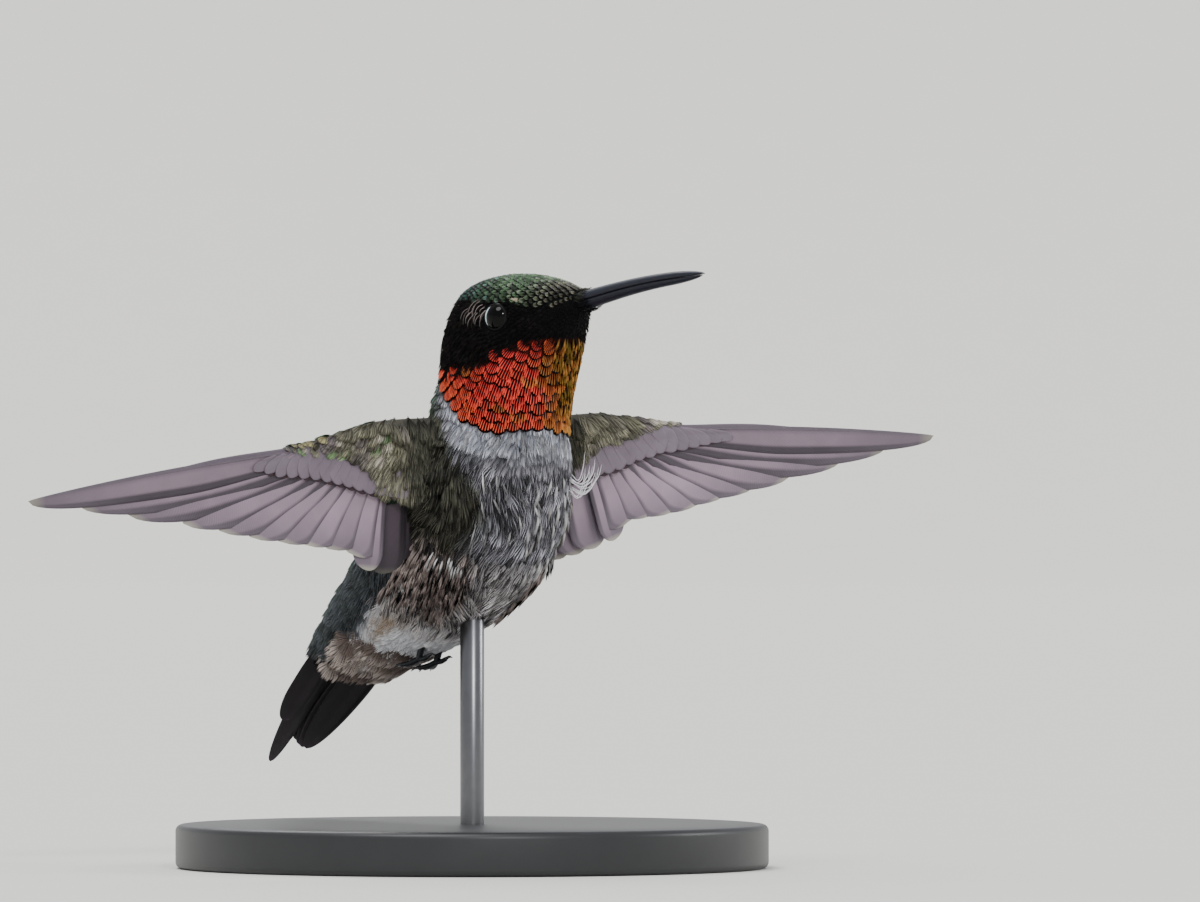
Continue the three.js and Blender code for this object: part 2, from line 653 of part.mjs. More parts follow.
const HAND_PAD = [
  { s: 4.6, front: -2.4, rear: 1.9, thick: 2.4 },
  { s: 7, front: -2.2, rear: 2.2, thick: 2.0 },
  { s: 11, front: -1.6, rear: 1.9, thick: 1.5 },
  { s: 15, front: -1.1, rear: 1.0, thick: 1.1 },
  { s: 21, front: -0.65, rear: 0.2, thick: 0.7 },
];
const ARM_PAD = [
  { s: -3.5, front: -1.6, rear: 3.4, thick: 4.0 },
  { s: 0, front: -1.8, rear: 3.4, thick: 3.6 },
  { s: 3, front: -2.1, rear: 2.8, thick: 3.0 },
  { s: 6, front: -2.35, rear: 2.2, thick: 2.3 },
  { s: 9, front: -2.0, rear: 2.0, thick: 1.8 },
];

// Blocks on the two sides of the cut between hand and forearm, each half a gap back from it.
function divideBlock(frame, outward) {
  const shift = (GAP / 2) * (outward ? 1 : -1);
  const far = outward ? 60 : -25;
  const { wrist, edge } = DIVIDE;
  const outline = [
    [wrist[0] + shift, wrist[1]], [edge[0] + shift, edge[1]], [far, edge[1]], [far, wrist[1]],
  ];
  const rings = [-9, 9].map((up) => outline.map((place) => frame.at(place, up)));
  return loft(rings);
}

const bodyShell = bodyLoft(NECK_TOP, RUMP_TOP + 1, 11, GAP);

for (const side of [-1, 1]) {
  const frame = wingFrame(side);
  const handPieces = [wingPad(frame, HAND_PAD), ...primaries(frame), ...coverts(frame, HAND_TIERS)];
  const armPieces = [wingPad(frame, ARM_PAD), ...secondaries(frame), ...coverts(frame, ARM_TIERS)];
  const hand = wasm.Manifold.union(handPieces.map(toSolid)).intersect(toSolid(divideBlock(frame, true)));
  const arm = wasm.Manifold.union(armPieces.map(toSolid)).intersect(toSolid(divideBlock(frame, false)))
    .subtract(toSolid(bodyShell));
  addNode(`wing_${frame.name}_hand`, largest(hand), COLOURS.wing);
  addNode(`wing_${frame.name}_arm`, largest(arm), COLOURS.covert);
}

// ---------------------------------------------------------------- legs

// The feet are tucked up under the belly with their toes laid back along it.
const ANKLES = { right: v3(-1.4, 7.8, -15.0), left: v3(1.4, 8.9, -15.3) };
const TOE_LENGTH = 1.9;
const CLAW_LENGTH = 0.8;
const BELLY_SLOPE = 0.3; // the belly falls by this much for each millimetre backwards

// A round limb through the given points, with the given radius at each.
function limb(points, radii, sides = 6) {
  const rings = points.map((p, i) => {
    const ahead = points[Math.min(i + 1, points.length - 1)].clone()
      .sub(points[Math.max(i - 1, 0)]).normalize();
    const across = ahead.clone().cross(v3(1, 0.2, 0.1)).normalize();
    const over = ahead.clone().cross(across).normalize();
    return Array.from({ length: sides }, (_, k) => {
      const angle = (k / sides) * 2 * Math.PI;
      return p.clone().addScaledVector(across, Math.cos(angle) * radii[i])
        .addScaledVector(over, Math.sin(angle) * radii[i]);
    });
  });
  return loft(rings);
}

for (const [name, place] of Object.entries(ANKLES)) {
  const ankle = TRUNK.clone().add(place);
  const shank = limb([ankle.clone().add(v3(0, -1.2, 2.4)), ankle], [0.5, 0.36]);
  const toes = [-0.42, 0, 0.42, 2.9].map((fan) => {
    const length = fan > 1 ? TOE_LENGTH * 0.6 : TOE_LENGTH;
    const back = v3(Math.sin(fan), Math.cos(fan), -BELLY_SLOPE * Math.cos(fan));
    const along = (reach, drop) => ankle.clone().addScaledVector(back, reach).add(v3(0, 0, -drop));
    return limb([ankle, along(length * 0.5, 0.12), along(length, 0.05), along(length + CLAW_LENGTH, -0.05)],
      [0.3, 0.27, 0.25, 0.1], 5);
  });
  addNode(`leg_${name}`, fuse([shank, ...toes], [bodyLoft(10, 15, 6, GAP)]), COLOURS.foot);
}

// ---------------------------------------------------------------- stand

const edge = 0.6;
const baseProfile = [[0, 0], [STAND_RADIUS - edge, 0], [STAND_RADIUS, edge],
  [STAND_RADIUS, STAND_THICKNESS - edge], [STAND_RADIUS - edge, STAND_THICKNESS], [0, STAND_THICKNESS]];
const base = new THREE.LatheGeometry(baseProfile.map(([r, z]) => new THREE.Vector2(r, z)), 64);
base.rotateX(Math.PI / 2);
const ROD_SEAT = 2.5; // depth of the rod's seat in the base
addNode('stand_base', fuse([base], [rod(ROD_RADIUS + GAP, STAND_THICKNESS - ROD_SEAT, 10)]), COLOURS.stand, 0.4);
addNode('stand_rod', rod(ROD_RADIUS, STAND_THICKNESS - ROD_SEAT + GAP, rodTop), COLOURS.stand, 0.25, 0.6);

export default bird;
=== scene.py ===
"""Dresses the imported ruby-throated hummingbird with skin, plumage, bill, eyes, feet and stand.

Lengths in the tables below are millimetres; every mesh is made in metres, in the frame of the
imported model: +Z up, the bird faces -Y and its right wing reaches towards -X.
"""

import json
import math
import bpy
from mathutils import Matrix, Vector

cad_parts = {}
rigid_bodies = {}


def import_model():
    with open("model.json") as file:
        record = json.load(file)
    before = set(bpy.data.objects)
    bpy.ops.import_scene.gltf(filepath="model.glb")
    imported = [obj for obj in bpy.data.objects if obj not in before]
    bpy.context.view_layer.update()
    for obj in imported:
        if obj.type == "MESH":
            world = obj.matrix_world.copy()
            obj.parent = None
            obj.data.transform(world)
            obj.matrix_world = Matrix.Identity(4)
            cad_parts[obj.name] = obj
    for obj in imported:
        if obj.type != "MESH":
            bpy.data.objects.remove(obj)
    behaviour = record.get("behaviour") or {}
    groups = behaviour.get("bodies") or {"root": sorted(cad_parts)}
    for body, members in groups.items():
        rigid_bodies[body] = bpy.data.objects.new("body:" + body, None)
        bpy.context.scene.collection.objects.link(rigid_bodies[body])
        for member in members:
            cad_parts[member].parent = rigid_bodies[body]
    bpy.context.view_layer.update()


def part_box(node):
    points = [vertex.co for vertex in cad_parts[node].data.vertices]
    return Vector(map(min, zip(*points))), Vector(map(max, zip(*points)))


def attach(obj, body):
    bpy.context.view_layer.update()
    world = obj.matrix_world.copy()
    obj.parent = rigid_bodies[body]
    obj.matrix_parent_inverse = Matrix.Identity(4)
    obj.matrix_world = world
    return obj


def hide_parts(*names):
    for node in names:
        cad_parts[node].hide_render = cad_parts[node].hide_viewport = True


bl_info = {
    "name": "Ruby-throated hummingbird",
    "version": (1, 0, 0),
    "blender": (4, 5, 0),
    "location": "3D View > Sidebar > Hummingbird",
    "description": "Builds the plumage, bill, eyes, feet and stand of a still hummingbird model",
    "category": "Object",
}

import bpy
import numpy as np
from mathutils import Vector

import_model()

MM = 0.001
BODY = "root"

# ---------------------------------------------------------------- the bird's form

TRUNK = np.array([0.0, -1.5, 33.5])  # centre of the trunk
SECTION_POWER = 2.15
YAW = math.radians(6.2)
YAW_PIVOT_Y = -5.6
YAW_FULL_AT, YAW_NONE_AT = 4.5, 7.0

# Stations from the face to the root of the tail: the back's y and z, the underside's y and z,
# half the width, and how far the widest place sits towards the back.
STATIONS = np.array([
    (-14.45, 18.95, -14.6, 17.1, 1.0, 0.0),
    (-12.0, 19.6, -12.6, 15.3, 2.9, 0.1),
    (-9.0, 20.35, -11.2, 13.2, 4.5, 0.1),
    (-5.2, 20.5, -10.6, 11.2, 5.4, 0.1),
    (-1.2, 19.2, -10.2, 9.2, 5.8, 0.1),
    (1.3, 15.7, -9.9, 7.4, 5.8, 0.1),
    (2.2, 11.4, -9.7, 5.4, 5.8, 0.05),
    (3.2, 8.0, -9.4, 2.2, 6.2, 0.0),
    (4.9, 4.8, -8.5, -1.6, 7.1, 0.0),
    (7.4, 1.9, -6.4, -5.3, 7.7, 0.0),
    (10.7, -0.8, -3.2, -8.5, 7.5, 0.0),
    (14.0, -3.6, 0.9, -11.2, 6.8, 0.0),
    (17.3, -6.4, 5.6, -13.3, 5.9, 0.0),
    (20.4, -9.2, 10.2, -14.8, 5.0, 0.0),
    (23.0, -11.7, 14.6, -16.2, 4.2, 0.0),
    (24.9, -13.7, 18.4, -17.5, 3.6, 0.0),
    (26.2, -15.4, 21.2, -18.7, 3.0, 0.0),
])
LAST_STATION = len(STATIONS) - 1
BACK_RAIL = STATIONS[:, 0:2]
UNDER_RAIL = STATIONS[:, 2:4]
WIDTH_RAIL = np.column_stack([np.arange(len(STATIONS)), STATIONS[:, 4], STATIONS[:, 5]])


SPECKLE_WAVES, SPECKLE_SWING = 7, 2.4


def speckle(points, size, seed):
    """Soft noise from 0 to 1 at points in millimetres, with lumps of about `size`."""
    rng = np.random.default_rng(seed)
    total = np.zeros(len(points))
    for _ in range(SPECKLE_WAVES):
        way = unit(rng.normal(size=3))
        length = size * rng.uniform(0.7, 1.5)
        total += np.sin(points @ way * 2 * math.pi / length + rng.uniform(0, 6.3))
    return 0.5 + 0.5 * np.clip(total / SPECKLE_SWING, -1, 1)


def smooth(x, low, high):
    """0 below `low`, 1 above `high`, and a soft step between them."""
    u = np.clip((np.asarray(x, float) - low) / (high - low), 0, 1)
    return u * u * (3 - 2 * u)


def band(x, low, high, end, gone):
    """0 below `low`, 1 from `high` to `end`, and 0 again above `gone`."""
    return smooth(x, low, high) * (1 - smooth(x, end, gone))


def spot(s, from_back, at, reach, turned, spread):
    """A soft spot round a station and an angle from the back, 1 in its middle."""
    return np.exp(-((s - at) / reach) ** 2 - ((from_back - turned) / spread) ** 2)


def lerp(a, b, u):
    return a + (b - a) * u


def unit(v):
    return v / np.maximum(np.linalg.norm(v, axis=-1, keepdims=True), 1e-12)


def rail(points, at):
    """Points of a centripetal Catmull-Rom curve, where a whole number is a given point."""
    at = np.clip(np.asarray(at, float), 0, len(points) - 1)
    padded = np.vstack([2 * points[0] - points[1], points, 2 * points[-1] - points[-2]])
    k = np.clip(np.floor(at).astype(int), 0, len(points) - 2)
    w = (at - k)[..., None]
    p = [padded[k + i] for i in range(4)]
    d = [np.linalg.norm(p[i + 1] - p[i], axis=-1, keepdims=True) ** 0.5 for i in range(3)]
    leave = ((p[1] - p[0]) / d[0] - (p[2] - p[0]) / (d[0] + d[1]) + (p[2] - p[1]) / d[1]) * d[1]
    reach = ((p[2] - p[1]) / d[1] - (p[3] - p[1]) / (d[1] + d[2]) + (p[3] - p[2]) / d[2]) * d[1]
    square = (3 * (p[2] - p[1]) - 2 * leave - reach) * w ** 2
    cube = (2 * (p[1] - p[2]) + leave + reach) * w ** 3
    return p[1] + leave * w + square + cube


# Where the plumage stands fuller than the plain form, at the nape, on the shoulders and on the
# flanks: height, station, reach along the body, angle from the back and its spread.
SWELLS = ((0.35, 3.9, 1.0, 0.55, 0.5), (0.7, 6.6, 0.7, 1.0, 0.35), (1.45, 8.7, 1.35, 1.2, 0.42))


def fluff(station, angle):
    """How far the plumage stands fuller than the plain form, in millimetres."""
    return sum(high * spot(station, np.abs(angle), *place) for high, *place in SWELLS)


def body_surface(station, angle, grow=0.0):
    """Points of the body in millimetres. The angle is 0 on the back and grows over the bird's
    left side to pi on the underside; `grow` moves a point outwards."""
    station, angle = np.broadcast_arrays(np.asarray(station, float), np.asarray(angle, float))
    grow = grow + fluff(station, angle)
    back, under = rail(BACK_RAIL, station), rail(UNDER_RAIL, station)
    width = rail(WIDTH_RAIL, station)
    half = (back - under) / 2
    depth = np.linalg.norm(half, axis=-1)
    cos, sin = np.cos(angle), np.sin(angle)
    up = np.sign(cos) * np.abs(cos) ** (2 / SECTION_POWER) * (depth + grow)
    x = np.sign(sin) * np.abs(sin) ** (2 / SECTION_POWER)
    x = x * (width[..., 1] + grow) * (1 + width[..., 2] * cos)
    side = under + half + half * (up / depth)[..., None]
    yaw = YAW * (1 - smooth(station, YAW_FULL_AT, YAW_NONE_AT))
    y = side[..., 0] - YAW_PIVOT_Y
    turned = [x * np.cos(yaw) - y * np.sin(yaw), YAW_PIVOT_Y + x * np.sin(yaw) + y * np.cos(yaw)]
    return np.stack([*turned, side[..., 1]], -1) + TRUNK


def round_unwrap(angle, along):
    """Place on an unwrap: `angle` runs round from -pi to pi, and `along` from 0 to 1."""
    return np.stack([0.5 + 0.48 * angle / math.pi, 0.02 + 0.96 * along], -1)


def body_unwrap(station, angle):
    """Place of a point of the skin on its unwrap, from bill to tail."""
    return round_unwrap(angle, station / LAST_STATION)


class Surface:
    """A surface of two parameters, its unwrap, and the lie of feathers on it."""

    def __init__(self, place, unwrap, step, reach):
        self.place = place
        self.unwrap = unwrap
        self.step = step  # small against the range of the first parameter
        self.reach = reach  # lowest and highest value of the first parameter

    def lie(self, s, a, lean, length, depth, proud):
        """Roots, directions and outward directions of feathers whose tips rest on the surface."""
        low, high = self.reach
        along = (self.place(s + self.step, a) - self.place(s - self.step, a)) / (2 * self.step)
        edge = np.linalg.norm(along, axis=-1) < 1e-6
        along[edge] = (self.place(s - 2 * self.step, a) - self.place(s - 3 * self.step, a))[edge] / self.step
        around = (self.place(s, a + 0.01) - self.place(s, a - 0.01)) / 0.02
        out = unit(np.cross(around, along))
        out = out * np.sign(np.sum(out * (self.place(s, a, 0.2) - self.place(s, a)), -1, keepdims=True))
        ahead = unit(along)
        turned = ahead * np.cos(lean)[:, None] + np.cross(out, ahead) * np.sin(lean)[:, None]
        step = turned * length[:, None]
        aa, bb = np.sum(along * along, -1), np.sum(around * around, -1)
        ab, sa, sb = (np.sum(x * y, -1) for x, y in ((along, around), (step, along), (step, around)))
        whole = np.maximum(aa * bb - ab * ab, 1e-9)
        far_s = s + (sa * bb - sb * ab) / whole
        far_a = a + (sb * aa - sa * ab) / whole
        near_s = np.clip(far_s, low, high)
        target = self.place(near_s, far_a, proud) + along * (far_s - near_s)[:, None]
        root = self.place(s, a) - out * depth[:, None]
        forward = unit(target - root)
        upward = unit(out - forward * np.sum(out * forward, -1, keepdims=True))
        return root, forward, upward


body = Surface(body_surface, body_unwrap, 0.05, (0.0, LAST_STATION - 0.1))
GRID_STEPS, GRID_TURNS = 500, 361  # of the grid on which rows of feathers are measured


def rows_over(surface, s_range, a_range, spacing, pitch, rng, start=None, jitter=0.12):
    """Staggered rows of roots, `spacing` apart along the lie and `pitch` apart across it, both
    measured on the surface. `start` gives the first row's place for each angle."""
    s_grid = np.linspace(*s_range, GRID_STEPS)
    a_grid = np.linspace(*a_range, GRID_TURNS)
    places = surface.place(s_grid[:, None], a_grid[None, :])
    steps = np.linalg.norm(np.diff(places, axis=0), axis=-1)
    length = np.vstack([np.zeros(len(a_grid)), np.cumsum(steps, axis=0)])
    first = np.full(len(a_grid), s_range[0]) if start is None else start(a_grid)
    origin = np.array([np.interp(first[j], s_grid, length[:, j]) for j in range(len(a_grid))])
    low = int(np.floor((-origin / spacing).min()))
    high = int(np.ceil(((length[-1] - origin) / spacing).max()))
    found = []
    for row in range(low, high + 1):
        want = origin + row * spacing
        on = (want >= 0) & (want <= length[-1])
        if on.sum() < 2:
            continue
        s_row = np.array([np.interp(want[j], length[:, j], s_grid) for j in range(len(a_grid))])
        line = surface.place(s_row, a_grid)
        run = np.concatenate([[0], np.cumsum(np.linalg.norm(np.diff(line, axis=0), axis=-1))])
        marks = np.arange((0.25 if row % 2 else 0.75) * pitch, run[-1], pitch)
        if len(marks) == 0:
            continue
        marks = marks + rng.uniform(-jitter, jitter, len(marks)) * pitch
        a = np.interp(marks, run, a_grid)
        s = np.interp(a, a_grid, s_row)
        keep = np.interp(a, a_grid, on.astype(float)) > 0.5
        slope = np.interp(a, a_grid, length[-1]) / (s_range[1] - s_range[0])
        s = s + rng.uniform(-jitter, jitter, len(s)) * spacing / np.maximum(slope, 0.2)
        found.append(np.column_stack([s, a])[keep])
    return np.clip(np.vstack(found), [s_range[0], a_range[0]], [s_range[1], a_range[1]])


def wrapped(roots):
    """Roots (s, a) with their angles brought between -pi and pi."""
    s, a = roots.T
    return np.column_stack([s, np.where(a > math.pi, a - 2 * math.pi, a)])


# ---------------------------------------------------------------- colours


def tone(hexadecimal):
    """A linear colour from the usual six digits."""
    values = [int(hexadecimal[i:i + 2], 16) / 255 for i in (0, 2, 4)]
    return np.array([v / 12.92 if v <= 0.04045 else ((v + 0.055) / 1.055) ** 2.4 for v in values])


def length(name, about, millimetres):
    return bpy.props.FloatProperty(name=name, description=about, default=millimetres * MM, unit="LENGTH",
                                   subtype="DISTANCE")


class Sizes(bpy.types.PropertyGroup):
    """Sizes of the coat that a user would change."""

    body_spacing: length("Row spacing", "Distance between the rows of body feathers", 0.82)
    gorget_spacing: length("Gorget spacing", "Visible height of a throat feather", 0.84)
    crown_spacing: length("Crown spacing", "Visible height of a crown feather", 0.5)
    coat_depth: length("Coat depth", "Depth of the plumage over the skin of the trunk", 0.55)
    bake_patch: bpy.props.FloatProperty(
        name="Bake patch", description="Width of one feather on the unwrap of the skin", default=0.003)


def colour(name, about, digits):
    return bpy.props.FloatVectorProperty(
        name=name, description=about, subtype="COLOR", min=0, max=1, default=tuple(tone(digits)))


class Colours(bpy.types.PropertyGroup):
    """Colours of the plumage and the bare parts."""

    gorget: colour("Gorget", "Throat feathers", "ff524c")
    gorget_tip: colour("Gorget tip", "Lower throat feathers", "ff7242")
    gorget_edge: colour("Gorget edge", "Throat feathers turned away", "cf9044")
    crown: colour("Crown", "Scales of the crown's middle", "6e8e6a")
    crown_rear: colour("Crown rear", "Scales of the crown's rear", "345a50")
    crown_front: colour("Crown front", "Scales of the forehead", "827f70")
    back: colour("Back", "Tips of the back feathers", "4a6a54")
    flank: colour("Flank", "Tips of the flank feathers", "68675a")
    breast: colour("Breast", "Tips of the breast feathers", "dcdbe6")
    collar: colour("Collar", "Band below the gorget", "f0f3ff")
    wing: colour("Wing", "Vanes of the flight feathers", "746975")
    tail: colour("Tail", "Vanes of the tail", "2d2a2d")
    bill: colour("Bill", "Horn of the bill", "0d101d")
    stand: colour("Stand", "Base of the stand", "202123")


def chosen(name):
    """A colour as the scene's settings have it."""
    return np.array(getattr(bpy.context.scene.hummingbird_colours, name))


def size_of(name):
    """A size as the scene's settings have it, in millimetres."""
    return getattr(bpy.context.scene.hummingbird_sizes, name) / MM


def draws(rng, places):
    """One draw from 0 to 1 for each place, as a column."""
    return rng.uniform(0, 1, (len(places), 1))


# ---------------------------------------------------------------- node helpers


def node(tree, kind, inputs=None, **settings):
    """Adds a node, sets its properties, and links or fills its named or numbered inputs."""
    made = tree.nodes.new(kind)
    for key, value in settings.items():
        setattr(made, key, value)
    for key, value in (inputs or {}).items():
        if isinstance(value, bpy.types.NodeSocket):
            tree.links.new(value, made.inputs[key])
        else:
            made.inputs[key].default_value = value
    return made


def add_sockets(tree, inputs, outputs):
    """`inputs` and `outputs` hold (name, socket type, default or None)."""
    for direction, sockets in (("INPUT", inputs), ("OUTPUT", outputs)):
        for name, kind, default in sockets:
            socket = tree.interface.new_socket(name, in_out=direction, socket_type=kind)
            if default is not None:
                socket.default_value = default


def math_node(tree, operation, *values, clamp=False):
    made = node(tree, "ShaderNodeMath", dict(enumerate(values)), operation=operation, use_clamp=clamp)
    return made.outputs[0]


def mix_colour(tree, factor, a, b):
    return node(tree, "ShaderNodeMix", {0: factor, 6: a, 7: b}, data_type="RGBA").outputs[2]


def scaled(tree, vector, factor):
    made = node(tree, "ShaderNodeVectorMath", {0: vector, "Scale": factor}, operation="SCALE")
    return made.outputs[0]


def rgba(colour):
    return (*colour, 1.0)


def attribute(tree, name):
    return node(tree, "ShaderNodeAttribute", attribute_name=name)


def new_group(name, kind, inputs, outputs):
    """A node group with its sockets, and the outputs of its input node."""
    tree = bpy.data.node_groups.new(name, kind)
    add_sockets(tree, inputs, outputs)
    return tree, node(tree, "NodeGroupInput").outputs


def mottle_group():
    """Shader group: fine variation of a colour over the surface, in object space."""
    if "Mottle" in bpy.data.node_groups:
        return bpy.data.node_groups["Mottle"]
    tree, inside = new_group(
        "Mottle", "ShaderNodeTree",
        [("Color", "NodeSocketColor", (0.5, 0.5, 0.5, 1)), ("Scale", "NodeSocketFloat", 2500.0),
         ("Amount", "NodeSocketFloat", 0.3)],
        [("Color", "NodeSocketColor", None), ("Height", "NodeSocketFloat", None)])
    place = node(tree, "ShaderNodeTexCoord").outputs["Object"]
    noise = node(tree, "ShaderNodeTexNoise", {"Vector": place, "Scale": inside["Scale"], "Detail": 3.0})
    height = noise.outputs["Fac"]
    swing = math_node(tree, "MULTIPLY_ADD", height, inside["Amount"], 1.0)
    factor = math_node(tree, "SUBTRACT", swing, math_node(tree, "MULTIPLY", inside["Amount"], 0.5))
    node(tree, "NodeGroupOutput", {"Color": scaled(tree, inside["Color"], factor), "Height": height})
    return tree


def feather_group():
    """Shader group: a feather's colour from its root's and tip's colours and its own shade."""
    if "Feather tint" in bpy.data.node_groups:
        return bpy.data.node_groups["Feather tint"]
    tree, _ = new_group("Feather tint", "ShaderNodeTree", [], [("Color", "NodeSocketColor", None)])
    reach, shade = (attribute(tree, name).outputs["Fac"] for name in ("reach", "shade"))
    root, tip = (attribute(tree, name).outputs["Color"] for name in ("tint", "tip"))
    mixed = mix_colour(tree, reach, root, tip)
    node(tree, "NodeGroupOutput", {"Color": scaled(tree, mixed, shade)})
    return tree


def use_group(tree, group, **inputs):
    return node(tree, "ShaderNodeGroup", inputs, node_tree=group).outputs


def new_material(name, **constants):
    """A material with one Principled shader whose constant sockets are set by name."""
    material = bpy.data.materials.new(name)
    material.use_nodes = True
    shader = material.node_tree.nodes["Principled BSDF"]
    for key, value in constants.items():
        shader.inputs[key.replace("_", " ")].default_value = value
    return material, material.node_tree, shader


def finish(tree, shader, colour, amount, scale, dent=None, height=None):
    """Gives a shader its colour, mottled by `amount` in lumps of 1 / `scale` metres, and a bump of
    `dent`, (strength, distance in metres), from the mottling or from a height of its own."""
    varied = use_group(tree, mottle_group(), Color=colour, Amount=amount, Scale=scale)
    tree.links.new(varied["Color"], shader.inputs["Base Color"])
    if dent:
        strength, distance = dent
        bump = node(tree, "ShaderNodeBump", {"Height": height or varied["Height"], "Strength": strength,
                                             "Distance": distance})
        tree.links.new(bump.outputs["Normal"], shader.inputs["Normal"])


def plain_material(name, colour, amount, scale, dent=None, **constants):
    """A material of one mottled colour."""
    material, tree, shader = new_material(name, **constants)
    finish(tree, shader, rgba(colour), amount, scale, dent)
    return material


# Roughness, metallic part, specular level and mottling of each kind of plumage.
PLUMAGE = {
    "crown_scales": (0.42, 0.2, 0.2, 0.3),
    "face_velvet": (0.7, 0.0, 0.12, 0.3),
    "gorget_scales": (0.38, 0.25, 0.18, 0.25),
    "coat_feathers": (0.6, 0.0, 0.2, 0.3),
    "lesser_coverts": (0.55, 0.0, 0.2, 0.4),
    "loose_barbs": (0.6, 0.0, 0.2, 0.35),
}


def plumage_material(name):
    if name in bpy.data.materials:
        return bpy.data.materials[name]
    roughness, metallic, specular, mottling = PLUMAGE[name]
    material, tree, shader = new_material(
        name, Roughness=roughness, Metallic=metallic, Specular_IOR_Level=specular)
    tint = use_group(tree, feather_group())["Color"]
    finish(tree, shader, tint, mottling, 1800.0, (0.25, 0.00004))
    return material


# ---------------------------------------------------------------- meshes


def mesh_object(name, points, faces, material=None, scale=MM):
    """A new smooth object from points in millimetres."""
    mesh = bpy.data.meshes.new(name)
    mesh.from_pydata((np.asarray(points, float) * scale).tolist(), [], [tuple(f) for f in faces])
    mesh.validate()
    mesh.update()
    mesh.polygons.foreach_set("use_smooth", [True] * len(mesh.polygons))
    made = bpy.data.objects.new(name, mesh)
    bpy.context.scene.collection.objects.link(made)
    if material is not None:
        mesh.materials.append(material)
    return made


VALUE_KEYS = {"FLOAT": "value", "INT": "value", "FLOAT_VECTOR": "vector", "FLOAT_COLOR": "color"}


def set_points(mesh, name, kind, values):
    """Writes an attribute from one value for each point."""
    made = mesh.attributes.new(name, kind, "POINT")
    number = np.int32 if kind == "INT" else np.float32
    made.data.foreach_set(VALUE_KEYS[kind], np.asarray(values, number).ravel())


def set_colour(mesh, name, values):
    opaque = np.ones((len(values), 4), np.float32)
    opaque[:, :3] = values
    set_points(mesh, name, "FLOAT_COLOR", opaque)


def set_bake_uv(mesh, uv_of_points):
    """Writes the OFBake map from one place for each point."""
    layer = mesh.uv_layers.new(name="OFBake")
    corners = np.empty(len(mesh.loops), np.int32)
    mesh.loops.foreach_get("vertex_index", corners)
    layer.data.foreach_set("uv", np.asarray(uv_of_points, np.float32)[corners].ravel())


def grid_faces(rows, columns, closed):
    """Quads of a grid of points; `closed` joins the last column to the first."""
    faces = []
    for i in range(rows - 1):
        for j in range(columns if closed else columns - 1):
            k = (j + 1) % columns
            faces.append((i * columns + j, i * columns + k, (i + 1) * columns + k, (i + 1) * columns + j))
    return faces


def outward(points, faces):
    """The faces, all turned over if they enclose a negative volume."""
    points = np.asarray(points, float)
    total = 0.0
    for face in faces:
        for i in range(1, len(face) - 1):
            a, b, c = points[face[0]], points[face[i]], points[face[i + 1]]
            total += np.dot(a, np.cross(b, c))
    return faces if total > 0 else [tuple(reversed(f)) for f in faces]


def tube(rings):
    """Rings of equally many points, joined and closed by a point at the middle of each end."""
    rings = np.asarray(rings, float)
    rows, columns = rings.shape[:2]
    points = np.vstack([rings.reshape(-1, 3), rings[0].mean(0), rings[-1].mean(0)])
    faces = grid_faces(rows, columns, True)
    start, end = rows * columns, rows * columns + 1
    last = (rows - 1) * columns
    for j in range(columns):
        k = (j + 1) % columns
        faces += [(start, k, j), (end, last + j, last + k)]
    return points, outward(points - points.mean(0), faces)


def ring(count):
    """Angles of `count` even steps round a circle."""
    return np.linspace(0, 2 * math.pi, count, endpoint=False)


def join(parts):
    """Joins (points, faces) pairs and returns them with the number of the part of each point."""
    points, faces, part, offset = [], [], [], 0
    for index, (p, f) in enumerate(parts):
        points.append(np.asarray(p, float))
        faces += [tuple(i + offset for i in face) for face in f]
        part.append(np.full(len(p), index))
        offset += len(p)
    return np.vstack(points), faces, np.concatenate(part)


# ---------------------------------------------------------------- tuft templates
# A template is one small feather with its root at the origin and its tip at y = 1, one wide in
# x, showing its face towards +z. It is made of closed tapering barbs, some over a thin web.

STRAND_HEIGHT = 0.5  # of a strand, as a share of its half width


def strand(path, widths, up=(0, 0, 1.0)):
    """A closed three-sided strand along a path, ending in a point."""
    path, widths = np.asarray(path, float), np.asarray(widths, float)
    ahead = unit(np.gradient(path, axis=0))
    side = unit(np.cross(ahead, up))
    half = (widths / 2)[:, None]
    rings = np.stack([path - side * half, path + side * half,
                      path + np.asarray(up) * half * STRAND_HEIGHT * 2], 1)[:-1]
    count = len(rings)
    points = np.vstack([rings.reshape(-1, 3), path[-1]])
    faces = [(0, 1, 2)]
    for i in range(count - 1):
        a, b = 3 * i, 3 * i + 3
        faces += [(a, a + 2, b + 2, b), (a + 2, a + 1, b + 1, b + 2), (a + 1, a, b, b + 1)]
    a, tip = 3 * (count - 1), len(points) - 1
    faces += [(a, a + 2, tip), (a + 2, a + 1, tip), (a + 1, a, tip)]
    return points, faces


def web(outline, thickness, z):
    """A thin lens-shaped plate inside an outline."""
    outline = np.asarray(outline, float)
    count = len(outline)
    flat = np.column_stack([outline, np.full(count, z)])
    middle = outline.mean(0)
    points = np.vstack([flat, [*middle, z + thickness], [*middle, z - thickness]])
    faces = []
    for i in range(count):
        j = (i + 1) % count
        faces += [(i, j, count), (j, i, count + 1)]
    return points, outward(points - points.mean(0), faces)


